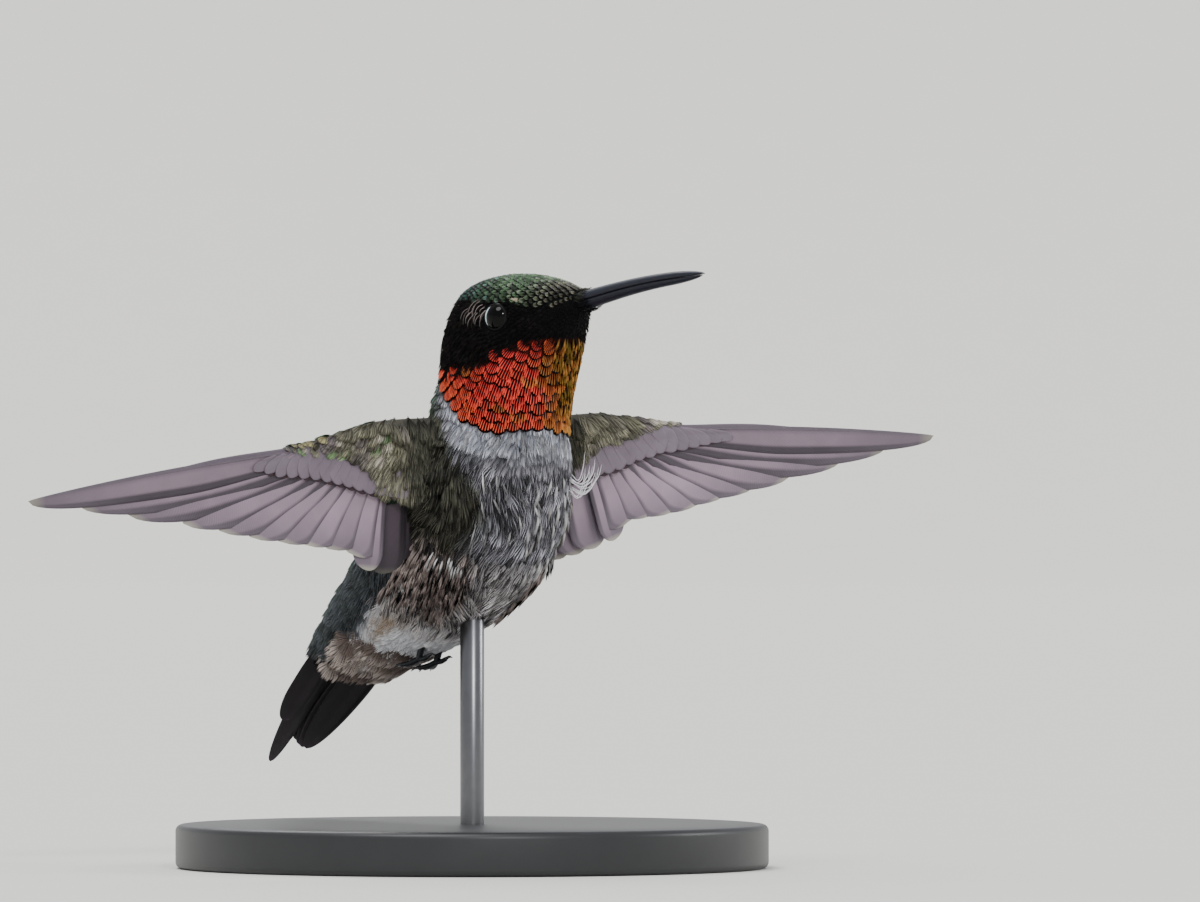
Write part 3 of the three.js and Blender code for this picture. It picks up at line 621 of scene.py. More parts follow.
class Template:
    """Collects strands and webs with their shade and how far each point is from root to tip."""

    def __init__(self):
        self.parts, self.shades, self.reaches = [], [], []

    def add(self, part, shade, reach):
        count = len(part[0])
        self.parts.append(part)
        self.shades.append(np.broadcast_to(np.asarray(shade, float), count))
        self.reaches.append(np.broadcast_to(np.asarray(reach, float), count))

    def strand(self, path, widths, shade, reach):
        """`shade` and `reach` are given at the start and the end of the strand."""
        rings = len(path) - 1
        u = np.append(np.repeat(np.arange(rings) / rings, 3), 1.0)
        self.add(strand(path, widths), lerp(shade[0], shade[1], u), lerp(reach[0], reach[1], u))

    def make(self, name, camber, droop, collection):
        points, faces, _ = join(self.parts)
        flat = points.copy()
        points[:, 2] -= camber * flat[:, 0] ** 2 + droop * flat[:, 1] ** 2
        made = mesh_object(name, points, faces, scale=1.0)
        set_points(made.data, "shade", "FLOAT", np.concatenate(self.shades))
        set_points(made.data, "reach", "FLOAT", np.concatenate(self.reaches))
        set_points(made.data, "vane", "FLOAT_VECTOR",
                   np.column_stack([flat[:, 0] + 0.5, flat[:, 1], np.zeros(len(flat))]))
        bpy.context.scene.collection.objects.unlink(made)
        collection.objects.link(made)


def plume(rng, barbs=6, width=0.05, plate=0.07, bright=(0.12, 0.3, 0.95, 1.5)):
    """A soft contour feather: barbs leave the shaft low down and run on beside it to the end."""
    made = Template()
    made.strand([(0, 0, 0), (0, 0.5, 0.03), (0, 1.0, 0.02)], [0.05, 0.045, 0.015], (0.5, 1.1), (0.0, 1.0))
    for side in (-1, 1):
        for k in range(barbs):
            u = (k + 0.5) / barbs
            out = side * lerp(0.46, 0.07, u) * rng.uniform(0.88, 1.12)
            start, far = lerp(0.02, 0.45, u), lerp(0.8, 1.0, u ** 0.7) * rng.uniform(0.94, 1.06)
            path = [(side * 0.01, start, 0.0), (out * 0.62, lerp(start, far, 0.34), 0.035),
                    (out * 0.97, lerp(start, far, 0.7), 0.03), (out, far, rng.uniform(-0.01, 0.045))]
            level = rng.choice(bright)
            made.strand(path, [width * 0.8, width, width * 0.85, 0.01], (0.4 * level, 1.15 * level),
                        (max(0.0, start - 0.1), min(1.0, far + 0.05)))
    angles = ring(10)
    outline = np.column_stack([0.44 * np.sin(angles), 0.5 - 0.46 * np.cos(angles)])
    made.add(web(outline, 0.008, -0.03), plate, 0.5)
    return made


FAN_SPREAD = 80  # degrees to each side


def fan(rng, barbs, edge, width, plate, gather):
    """A stiff rounded scale: barbs fan out over a dark plate that shows round them as a rim, partly the
    scale's dark base and partly painted shade between overlapping scales.
    """
    made = Template()
    for k in range(barbs):
        angle = math.radians(lerp(-FAN_SPREAD, FAN_SPREAD, k / (barbs - 1)))
        across, ahead = math.sin(angle), math.cos(angle)
        reach = np.array([across * (0.5 - edge), 0.6 + ahead * (0.4 - edge), 0.0])
        reach[1] += rng.uniform(-0.015, 0.015)
        start = np.array([gather * across, 0.3, 0.0])
        bright = rng.uniform(0.72, 1.15)
        path = [lerp(start, reach, u) + [0, 0, 0.03 * math.sin(math.pi * u * 0.8)] for u in (0, 0.5, 0.93, 1)]
        made.strand(path, [0.03, width * 0.7, width, 0.0], (0.8 * bright, 1.4 * bright), (0.0, 1.0))
    angles = ring(14)
    outline = np.column_stack([0.5 * np.sin(angles), 0.6 + 0.4 * np.cos(angles)])
    low = outline[:, 1] < 0.6
    outline[low, 1] = 0.6 + (outline[low, 1] - 0.6) * 1.4
    made.add(web(outline, 0.012, -0.02), plate, 0.0)
    return made


def down(rng, barbs, spread, width, curl):
    """A loose tuft of fine barbs from one root."""
    made = Template()
    for k in range(barbs):
        u = (k + 0.5) / barbs * 2 - 1
        far = 1 - 0.25 * abs(u) * rng.uniform(0.6, 1.3)
        tip = np.array([spread * u + rng.uniform(-0.06, 0.06), far, rng.uniform(-0.03, 0.08)])
        middle = tip * [0.45, 0.55, 0.5] + [rng.uniform(-curl, curl) * 0.5, 0, 0.05]
        bright = rng.uniform(0.6, 1.25)
        made.strand([(0.03 * u, 0, 0), middle, tip], [width, width * 0.8, 0.005],
                    (0.45 * bright, 1.1 * bright), (0.0, 1.0))
    return made


def streak(rng, barbs):
    """A narrow feather of nearly parallel barbs."""
    made = Template()
    for k in range(barbs):
        u = k / (barbs - 1) * 2 - 1
        end = (0.42 * u + rng.uniform(-0.08, 0.08), 1 - 0.12 * abs(u) * rng.uniform(0.5, 2), 0.03)
        bright = rng.uniform(0.6, 1.2)
        made.strand([(0.1 * u, 0, 0), (0.3 * u, 0.5, 0.04), end], [0.12, 0.2, 0.05],
                    (0.5 * bright, 1.1 * bright), (0.0, 1.0))
    return made


# How each kind of tuft is made, and how much it is curved across and along.
TEMPLATES = {
    "plume": (plume, 0.35, 0.1, {}),
    "silk": (plume, 0.35, 0.1,
             {"barbs": 7, "width": 0.055, "plate": 0.55, "bright": (0.5, 0.8, 1.05, 1.25)}),
    "cloud": (plume, 0.35, 0.12,
              {"barbs": 7, "width": 0.07, "plate": 0.85, "bright": (0.8, 0.95, 1.05, 1.2)}),
    "covert": (plume, 0.3, 0.08,
               {"barbs": 10, "width": 0.055, "plate": 0.7, "bright": (0.8, 0.95, 1.05, 1.15)}),
    "fan": (fan, 0.12, 0.06, {"barbs": 8, "edge": 0.075, "width": 0.078, "plate": 0.015, "gather": 0.34}),
    "scale": (fan, 0.2, 0.08, {"barbs": 5, "edge": 0.17, "width": 0.145, "plate": 0.02, "gather": 0.28}),
    "velvet": (down, 0.2, 0.1, {"barbs": 7, "spread": 0.55, "width": 0.1, "curl": 0.05}),
    "wisp": (down, 0.25, 0.14, {"barbs": 8, "spread": 0.3, "width": 0.05, "curl": 0.1}),
    "streak": (streak, 0.1, 0.06, {"barbs": 5}),
}
VARIANTS = 4


def template_collection(kind):
    """The variants of one kind of tuft, in a collection of their own, made once."""
    if "Tufts " + kind in bpy.data.collections:
        return bpy.data.collections["Tufts " + kind]
    collection = bpy.data.collections.new("Tufts " + kind)
    maker, camber, droop, settings = TEMPLATES[kind]
    rng = np.random.default_rng(len(kind))
    for i in range(VARIANTS):
        maker(rng, **settings).make(f"{kind}_{i}", camber, droop, collection)
    return collection


# ---------------------------------------------------------------- plumage tree


def plumage_tree():
    """Geometry Nodes: sets a tuft on each point, along its lie, and gives it its bake patch."""
    if "Plumage" in bpy.data.node_groups:
        return bpy.data.node_groups["Plumage"]
    tree, inside = new_group(
        "Plumage", "GeometryNodeTree",
        [("Geometry", "NodeSocketGeometry", None), ("Tufts", "NodeSocketCollection", None),
         ("Ruffle", "NodeSocketFloat", 0.1), ("Bake Patch", "NodeSocketFloat", 0.003),
         ("Seed", "NodeSocketInt", 1), ("Material", "NodeSocketMaterial", None)],
        [("Geometry", "NodeSocketGeometry", None)])

    def named(attribute_name, kind="FLOAT_VECTOR"):
        made = node(tree, "GeometryNodeInputNamedAttribute", {"Name": attribute_name}, data_type=kind)
        return made.outputs["Attribute"]

    lie = node(tree, "FunctionNodeAxesToRotation", {0: named("out"), 1: named("along")},
               primary_axis="Z", secondary_axis="Y")
    spread = scaled(tree, (1.0, 0.5, 1.0), inside["Ruffle"])
    opposite = scaled(tree, spread, -1.0)
    random = node(tree, "FunctionNodeRandomValue", {0: opposite, 1: spread, "Seed": inside["Seed"]},
                  data_type="FLOAT_VECTOR")
    turn = node(tree, "FunctionNodeEulerToRotation", {0: random.outputs[0]})
    ruffled = node(tree, "FunctionNodeRotateRotation",
                   {0: lie.outputs[0], 1: turn.outputs[0]}, rotation_space="LOCAL")
    tufts = node(tree, "GeometryNodeCollectionInfo", {"Collection": inside["Tufts"],
                                                      "Separate Children": True, "Reset Children": True})
    placed = node(tree, "GeometryNodeInstanceOnPoints", {
        "Points": inside["Geometry"], "Instance": tufts.outputs[0], "Pick Instance": True,
        "Instance Index": named("variant", "INT"), "Rotation": ruffled.outputs[0], "Scale": named("size")})
    real = node(tree, "GeometryNodeRealizeInstances", {"Geometry": placed.outputs[0]})
    patch = scaled(tree, named("vane"), inside["Bake Patch"])
    place = node(tree, "ShaderNodeVectorMath", {0: named("root_uv"), 1: patch}, operation="ADD")
    stored = node(tree, "GeometryNodeStoreNamedAttribute",
                  {"Geometry": real.outputs[0], "Name": "OFBake", "Value": place.outputs[0]},
                  data_type="FLOAT2", domain="CORNER")
    dressed = node(tree, "GeometryNodeSetMaterial",
                   {"Geometry": stored.outputs[0], "Material": inside["Material"]})
    node(tree, "NodeGroupOutput", {"Geometry": dressed.outputs[0]})
    return tree


def socket_of(tree, name):
    for item in tree.interface.items_tree:
        if item.item_type == "SOCKET" and item.in_out == "INPUT" and item.name == name:
            return item.identifier
    raise KeyError(name)


def grow_coat(name, surface, roots, kind, material, *, size, proud, tint, tip, seed, slot, depth=None,
              lean=0.0, roll=0.0, ruffle=0.1):
    """Sets one tuft on each root (s, a) of a surface and keeps the plain mesh.

    `size` is (width, length) in millimetres, as numbers or arrays. Roots sit `depth` under the
    surface, or on the skin of the body, and tips stand `proud` of the surface. `lean` turns the lie
    about the surface's normal, and `roll` tips each tuft sideways, so that those of a row overlap
    like tiles.
    """
    s, a = roots.T
    count = len(roots)
    rng = np.random.default_rng(seed)
    width, length = (np.broadcast_to(v, count) * rng.uniform(0.9, 1.1, count) for v in size)
    depth = coat_depth(s, a) if depth is None else depth
    lean, depth, proud = (np.broadcast_to(v, count) for v in (lean, depth, proud))
    base, forward, upward = surface.lie(s, a, lean, length, depth, proud)
    upward = upward * math.cos(roll) + np.cross(forward, upward) * math.sin(roll)
    points = bpy.data.meshes.new(name)
    points.from_pydata((base * MM).tolist(), [], [])
    vectors = {"along": forward, "out": upward, "size": np.column_stack([width, length, length]) * MM,
               "root_uv": np.column_stack([surface.unwrap(s, a), np.zeros(count)])}
    for key, values in vectors.items():
        set_points(points, key, "FLOAT_VECTOR", values)
    set_colour(points, "tint", np.broadcast_to(tint, (count, 3)))
    set_colour(points, "tip", np.broadcast_to(tip, (count, 3)))
    set_points(points, "variant", "INT", rng.integers(0, VARIANTS, count))
    carrier = bpy.data.objects.new(name + "_roots", points)
    bpy.context.scene.collection.objects.link(carrier)
    tree = plumage_tree()
    modifier = carrier.modifiers.new("Plumage", "NODES")
    modifier.node_group = tree
    patch = bpy.context.scene.hummingbird_sizes.bake_patch
    for key, value in (("Tufts", template_collection(kind)), ("Ruffle", ruffle), ("Bake Patch", patch),
                       ("Seed", seed), ("Material", material)):
        modifier[socket_of(tree, key)] = value
    evaluated = carrier.evaluated_get(bpy.context.evaluated_depsgraph_get())
    mesh = bpy.data.meshes.new_from_object(evaluated)
    mesh.name = name
    carrier.modifiers.remove(modifier)
    bpy.data.objects.remove(carrier)
    made = bpy.data.objects.new(name, mesh)
    bpy.context.scene.collection.objects.link(made)
    for spare in (*vectors, "variant", "vane"):
        if spare in mesh.attributes:
            mesh.attributes.remove(mesh.attributes[spare])
    keep_on_body(made, slot)


def loose_barbs(name, paths, width, up, colours, places, slot):
    """Single curling barbs along smooth paths; `places` are their roots on the unwrap."""
    steps = 14
    taper = width * np.append(np.sin(np.linspace(0.8, 2.7, steps - 1)), 0)
    lines = [rail(np.asarray(path), np.linspace(0, len(path) - 1, steps)) for path in paths]
    points, faces, part = join([strand(line, taper, up) for line in lines])
    made = mesh_object(name, points, outward(points, faces), plumage_material("loose_barbs"))
    for key in ("tint", "tip"):
        set_colour(made.data, key, np.asarray(colours)[part])
    count = np.arange(len(points))
    set_points(made.data, "shade", "FLOAT", np.ones(len(points)))
    set_points(made.data, "reach", "FLOAT", np.zeros(len(points)))
    row = (count % (3 * (steps - 1) + 1)) / (3 * steps)
    patch = bpy.context.scene.hummingbird_sizes.bake_patch
    set_bake_uv(made.data, np.asarray(places)[part] + patch * np.column_stack([count % 3 / 3, row]))
    keep_on_body(made, slot)


def keep_on_body(made, slot, *replaced):
    """Fixes a piece to the one body and hides the nodes it stands for; `slot` is not used."""
    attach(made, BODY)
    if replaced:
        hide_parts(*replaced)


# ---------------------------------------------------------------- markings

# Borders on the body: the angle from the back, and the station there.
GORGET_TOP = np.array([(0.0, 6.6), (1.0, 5.75), (1.13, 5.56), (1.54, 4.89), (1.82, 4.06), (1.95, 3.35),
                       (2.13, 2.36), (2.4, 1.85), (2.65, 1.61), (3.15, 1.5)])
GORGET_FOOT = np.array([(0.0, 5.5), (1.0, 5.95), (1.15, 6.12), (1.5, 6.27), (1.94, 6.22), (2.35, 6.0),
                        (2.7, 5.56), (3.15, 5.22)])
COLLAR_FOOT = np.array([(0.0, 5.6), (1.0, 6.2), (1.3, 6.6), (1.63, 7.1), (2.09, 6.85), (2.38, 6.65),
                        (2.7, 6.5), (3.15, 6.45)])
COLLAR_END = np.array([(6.0, 1.1), (6.3, 1.25), (6.8, 1.6), (7.1, 1.85), (8.0, 2.3)])
# The station, and how far from the back the colour reaches there.
CROWN_EDGE = np.array([(0.0, 1.4), (0.25, 1.5), (0.71, 1.62), (1.56, 1.35), (2.16, 1.2), (2.65, 1.16),
                       (3.21, 1.0), (3.74, 0.79), (4.2, 0.62), (7.0, 0.62)])
FLANK_EDGE = np.array([(6.2, 1.0), (7.0, 1.65), (7.38, 1.89), (7.88, 2.2), (8.49, 2.42), (9.12, 2.46),
                       (9.51, 2.3), (10.2, 1.9), (11.0, 1.75), (12.0, 1.5), (16.0, 1.45)])


# The stations, and then the angles from the back, where the belly's patch begins, is full, begins
# to fade and is gone.
BELLY = ((9.2, 9.6, 10.8, 11.4), (1.6, 1.95, 2.55, 2.8))
# Station, reach along the body, angle from the back and its spread.
SIDE_TUFT, BUFF_SPOT = (11.2, 0.5, 1.85, 0.14), (12.35, 0.6, 2.1, 0.15)
GORGET_SIDE = 1.02  # the angle from the back that the gorget's feathers keep from it
FROM_BACK, ALL_ROUND = (0.0, 2 * math.pi), (-math.pi, math.pi)


def border(table, at):
    return np.interp(at, table[:, 0], table[:, 1])


def past_top(s, a):
    """How many stations a place is past the gorget's upper border."""
    return s - border(GORGET_TOP, np.abs(a))


def past_foot(s, a):
    return s - border(GORGET_FOOT, np.abs(a))


def foot_rows(before):
    """The first row of feathers for each angle from 0 to 2 pi, `before` the gorget's foot."""
    return lambda angles: border(GORGET_FOOT, math.pi - np.abs(angles - math.pi)) - before


def lay(layers, s):
    """Mixes (mask, root colour, tip colour) layers in order."""
    count = len(s)
    root, tip = np.zeros((count, 3)), np.zeros((count, 3))
    for mask, root_colour, tip_colour in layers:
        mask = np.broadcast_to(mask, count)[:, None]
        root = lerp(root, np.asarray(root_colour), mask)
        tip = lerp(tip, np.asarray(tip_colour), mask)
    return root, tip


def trunk_markings(s, a, rng):
    """Root and tip colours of the trunk's feathers."""
    from_back = np.abs(a)
    count = len(s)
    places = body.place(s, a)
    patchy = rng.uniform(0, 1, (count, 1))
    coarse, fine = speckle(places, 3.2, 1), speckle(places, 1.5, 2)
    under = smooth(from_back - border(FLANK_EDGE, s), -0.14, 0.14)
    collar = 1 - smooth(s - border(COLLAR_FOOT, from_back), -0.2, 0.3)
    collar = collar * smooth(from_back - border(COLLAR_END, s), -0.05, 0.12)
    dark = smooth(coarse, 0.42, 0.7) * smooth(s, 6.75, 7.2) * (1 - smooth(from_back, 2.75, 3.0)) * under
    belly = band(s, *BELLY[0]) * band(from_back, *BELLY[1])
    mottled = (smooth(s, 9.1, 9.8) * smooth(from_back, 2.45, 2.75)
               + smooth(s, 10.7, 11.1) * smooth(from_back, 2.1, 2.4))
    middle = smooth(from_back, 2.5, 2.8) * (1 - smooth(s, 11.6, 12.2))
    vent = smooth(s, 10.9, 11.4) * smooth(from_back, 1.65, 1.85) * (1 - middle)
    slate = smooth(s, 9.0, 10.4) * (1 - smooth(from_back, 1.6, 1.85))
    pink = np.where(patchy > 0.3, tone("dccac4"), tone("4a4446"))
    mottles = lerp(tone("a8a3a4"), tone("faf6f8"), smooth(fine, 0.3, 0.6)[:, None])
    slates = lerp(tone("47624f"), tone("60666d"), smooth(from_back, 0.5, 1.0)[:, None])
    vents = lerp(tone("d9cbc2"), tone("f4f4f8"), smooth(s, 11.6, 12.3)[:, None])
    olive_side = smooth(from_back, 0.9, 1.3) * (1 - under) * (1 - smooth(s, 9.6, 10.4))
    vary = rng.uniform(0.55, 1.3, (count, 1))
    shaded = 1 - 0.35 * (under * (1 - collar) * (1 - smooth(s, 7.0, 7.7)))[:, None]
    root, tip = lay([
        (1.0, tone("0c1412"), chosen("back")),
        (olive_side, tone("090a07"), chosen("flank")),
        (under, tone("1c1c20"), chosen("breast")),
        (dark * 0.7, tone("0c0c0e"), tone("6e6c74")),
        (belly, tone("332e30"), pink),
        (np.clip(mottled, 0, 1), tone("a39ea0"), mottles),
        (slate, tone("202326"), slates),
        (vent, tone("e6e8f0"), vents),
        (spot(s, from_back, *SIDE_TUFT), tone("5b5552"), tone("d8d4d2")),
        (np.clip(spot(s, from_back, *BUFF_SPOT) * 1.5, 0, 1), tone("9a8d80"), tone("c2ae9b")),
        (collar, tone("777b8b"), chosen("collar")),
        (smooth(s, 13.8, 14.2), tone("0b0a0c"), tone("1a181b")),
    ], s)
    return root, tip * shaded * lerp(vary, 1.0, np.maximum(vent, collar * 0.6)[:, None])


# ---------------------------------------------------------------- skin

SKIN_ROWS, SKIN_SIDES = 260, 120
SKIN_END = 14.9
HEAD_DEPTH, GORGET_DEPTH = 0.3, 0.42


def coat_depth(s, a):
    """Depth of the plumage in millimetres, thin on the head and full on the trunk."""
    return lerp(HEAD_DEPTH, size_of("coat_depth"), smooth(s, 4.5, 7.5)) + fluff(s, a)


def closed_skin(name, place, unwrap, ends, rows, sides, material):
    """A closed skin over a surface round the body or a wing. Returns it and its points' places."""
    turn = np.linspace(*ALL_ROUND, sides, endpoint=False)
    s, a = (v.ravel() for v in np.meshgrid(np.linspace(*ends, rows), turn, indexing="ij"))
    points, faces = tube(place(s, a).reshape(rows, sides, 3))
    made = mesh_object(name, points, faces, material)
    s, a = np.append(s, ends), np.append(a, [0, 0])
    set_bake_uv(made.data, unwrap(s, a))
    return made, s, a


class HUMMINGBIRD_OT_skin(bpy.types.Operator):
    """Make the one skin under the plumage, with the markings of the coat"""

    bl_idname = "hummingbird.skin"
    bl_label = "Skin"

    def execute(self, context):
        material, tree, shader = new_material("skin", Roughness=0.85, Specular_IOR_Level=0.1)
        finish(tree, shader, attribute(tree, "tint").outputs["Color"], 0.4, 2200.0, (0.4, 0.00005))
        made, s, a = closed_skin("skin", lambda s, a: body.place(s, a, -coat_depth(s, a)), body.unwrap,
                                 (0.0, SKIN_END), SKIN_ROWS, SKIN_SIDES, material)
        root, _ = trunk_markings(s, a, np.random.default_rng(5))
        green = 1 - smooth(np.abs(a) - border(CROWN_EDGE, s), -0.1, 0.05)
        head = lerp(tone("060506"), tone("0a110d"), green[:, None])
        gorget = (past_top(s, a) > 0) & (past_foot(s, a) < 0) & (np.abs(a) > 1.0)
        head = np.where(gorget[:, None], tone("3a0f08"), head)
        set_colour(made.data, "tint", np.where(past_foot(s, a)[:, None] < 0, head, root))
        keep_on_body(made, "breast", "head", "throat", "neck", "torso", "rump")
        return {"FINISHED"}


# ---------------------------------------------------------------- head

BILL_LENGTH = 15.5
BILL_PITCH = math.radians(8.2)
FORWARD = np.array([math.sin(YAW) * math.cos(BILL_PITCH), -math.cos(YAW) * math.cos(BILL_PITCH),
                    math.sin(BILL_PITCH)])
LEFT = np.array([math.cos(YAW), math.sin(YAW), 0.0])
UP = -unit(np.cross(LEFT, FORWARD))
UP = UP if UP[2] > 0 else -UP


def turned_head(x, y, z):
    y = y - YAW_PIVOT_Y
    return np.array([x * math.cos(YAW) - y * math.sin(YAW),
                     YAW_PIVOT_Y + x * math.sin(YAW) + y * math.cos(YAW), z]) + TRUNK


BILL_BASE = turned_head(0.0, -14.63, 18.05)


def head_point(ahead, left, up):
    """A point ahead of the bill's base, to the bird's left of it and above it."""
    ahead, left, up = (np.asarray(v, float)[..., None] for v in (ahead, left, up))
    return BILL_BASE + FORWARD * ahead + LEFT * left + UP * up


EYE_RADIUS = 1.45
EYE_AHEAD, EYE_OUT, EYE_UP = -6.95, 4.25, -0.55
EYE_FORWARD = 0.22  # how far the eyes look forwards, for each step outwards
LID_HEIGHT, LID_THICKNESS = 0.64, 0.09  # as a share of the globe's radius, and in millimetres
LID_SIDES, LID_BEADS, BEAD_STEPS, GLOBE_SIDES = 10, 40, 4, 96
SCALES_CLEAR, VELVET_CLEAR = 1.42, 1.18  # how near to the eye's axis the roots of feathers come


def eye_centre(side):
    return head_point(EYE_AHEAD, side * EYE_OUT, EYE_UP)


def eye_axis(side):
    return unit(LEFT * side + FORWARD * EYE_FORWARD)


def eye_distance(points):
    """How far points of the head are from the axis of the eye on their side."""
    found = np.full(len(points), 99.0)
    for side in (-1, 1):
        offset = points - eye_centre(side)
        along = offset @ eye_axis(side)
        across = np.linalg.norm(offset - along[:, None] * eye_axis(side), axis=-1)
        found = np.where(along > 0, np.minimum(found, across), found)
    return found


def crown_colours(s, rng):
    """Teal behind, green in the middle and bronze in front, each scale a little different, and one in ten
    lightened by a painted glint.
    """
    crown = lerp(chosen("crown"), chosen("crown_rear"), smooth(s, 2.4, 3.6)[:, None])
    crown = lerp(crown, chosen("crown_front"), (1 - smooth(s, 0.7, 1.9))[:, None])
    grain = draws(rng, s)
    crown = lerp(crown * 0.25, crown * 1.4, grain)
    # Painted glints: one scale in ten is lightened towards pale green in front and pale teal behind.
    pale = (rng.uniform(0, 1, len(s)) > 0.9)[:, None] * 0.4
    crown = lerp(crown, lerp(tone("c3ceb4"), tone("9bd2c8"), smooth(s, 2.0, 3.0)[:, None]), pale)
    return crown * lerp(1.0, 0.5, smooth(s, 3.9, 5.0)[:, None])


def gorget_fall(s):
    """0 at the chin and 1 at the gorget's foot."""
    return (s - 1.6) / 4.5


def gorget_colours(s, a, rng):
    """Scarlet to crimson, and copper to olive gold along the left of the throat's middle."""
    turn = np.mod(a, 2 * math.pi) - math.pi  # 0 in the middle of the throat, + to the right side
    fall = gorget_fall(s)
    gold = smooth(-turn, lerp(-0.75, -0.1, fall), lerp(-0.1, 0.45, fall))
    gold = gold * (1 - smooth(-turn, 1.1, 1.7))
    gold = np.clip(gold + rng.uniform(-0.25, 0.25, len(s)) * (gold > 0.04), 0, 1)[:, None]
    orange = np.clip(smooth(fall, 0.6, 1.0)[:, None] * 0.6 + rng.uniform(-0.2, 0.35, (len(s), 1)), 0, 1)
    red = lerp(chosen("gorget"), chosen("gorget_tip"), orange)
    olive = lerp(chosen("gorget_edge"), tone("6d5c22"), rng.uniform(0, 0.6, (len(s), 1)))
    dull = (draws(rng, s) > 0.965) * 0.7
    tip = lerp(red, olive, np.maximum(gold, dull))
    return tip * rng.uniform(0.82, 1.14, (len(s), 1)) * lerp(0.8, 1.0, smooth(fall, 0.0, 0.35))[:, None]


def bill_base_surface(ahead, angle, grow=0.0):
    """The root of the bill and the face round it, narrowing forwards."""
    ahead, angle = np.broadcast_arrays(np.asarray(ahead, float), np.asarray(angle, float))
    narrow = smooth(ahead, -0.8, 0.8)
    half, high = lerp(1.12, 0.97, narrow) + grow, lerp(1.05, 0.9, narrow) + grow
    return head_point(ahead, half * np.sin(angle), high * np.cos(angle) - 0.02)


bill_base = Surface(bill_base_surface, lambda s, a: np.stack(
    [0.5 + 0.48 * a / math.pi, 0.99 + 0.003 * s], -1), 0.02, (-0.7, 0.9))


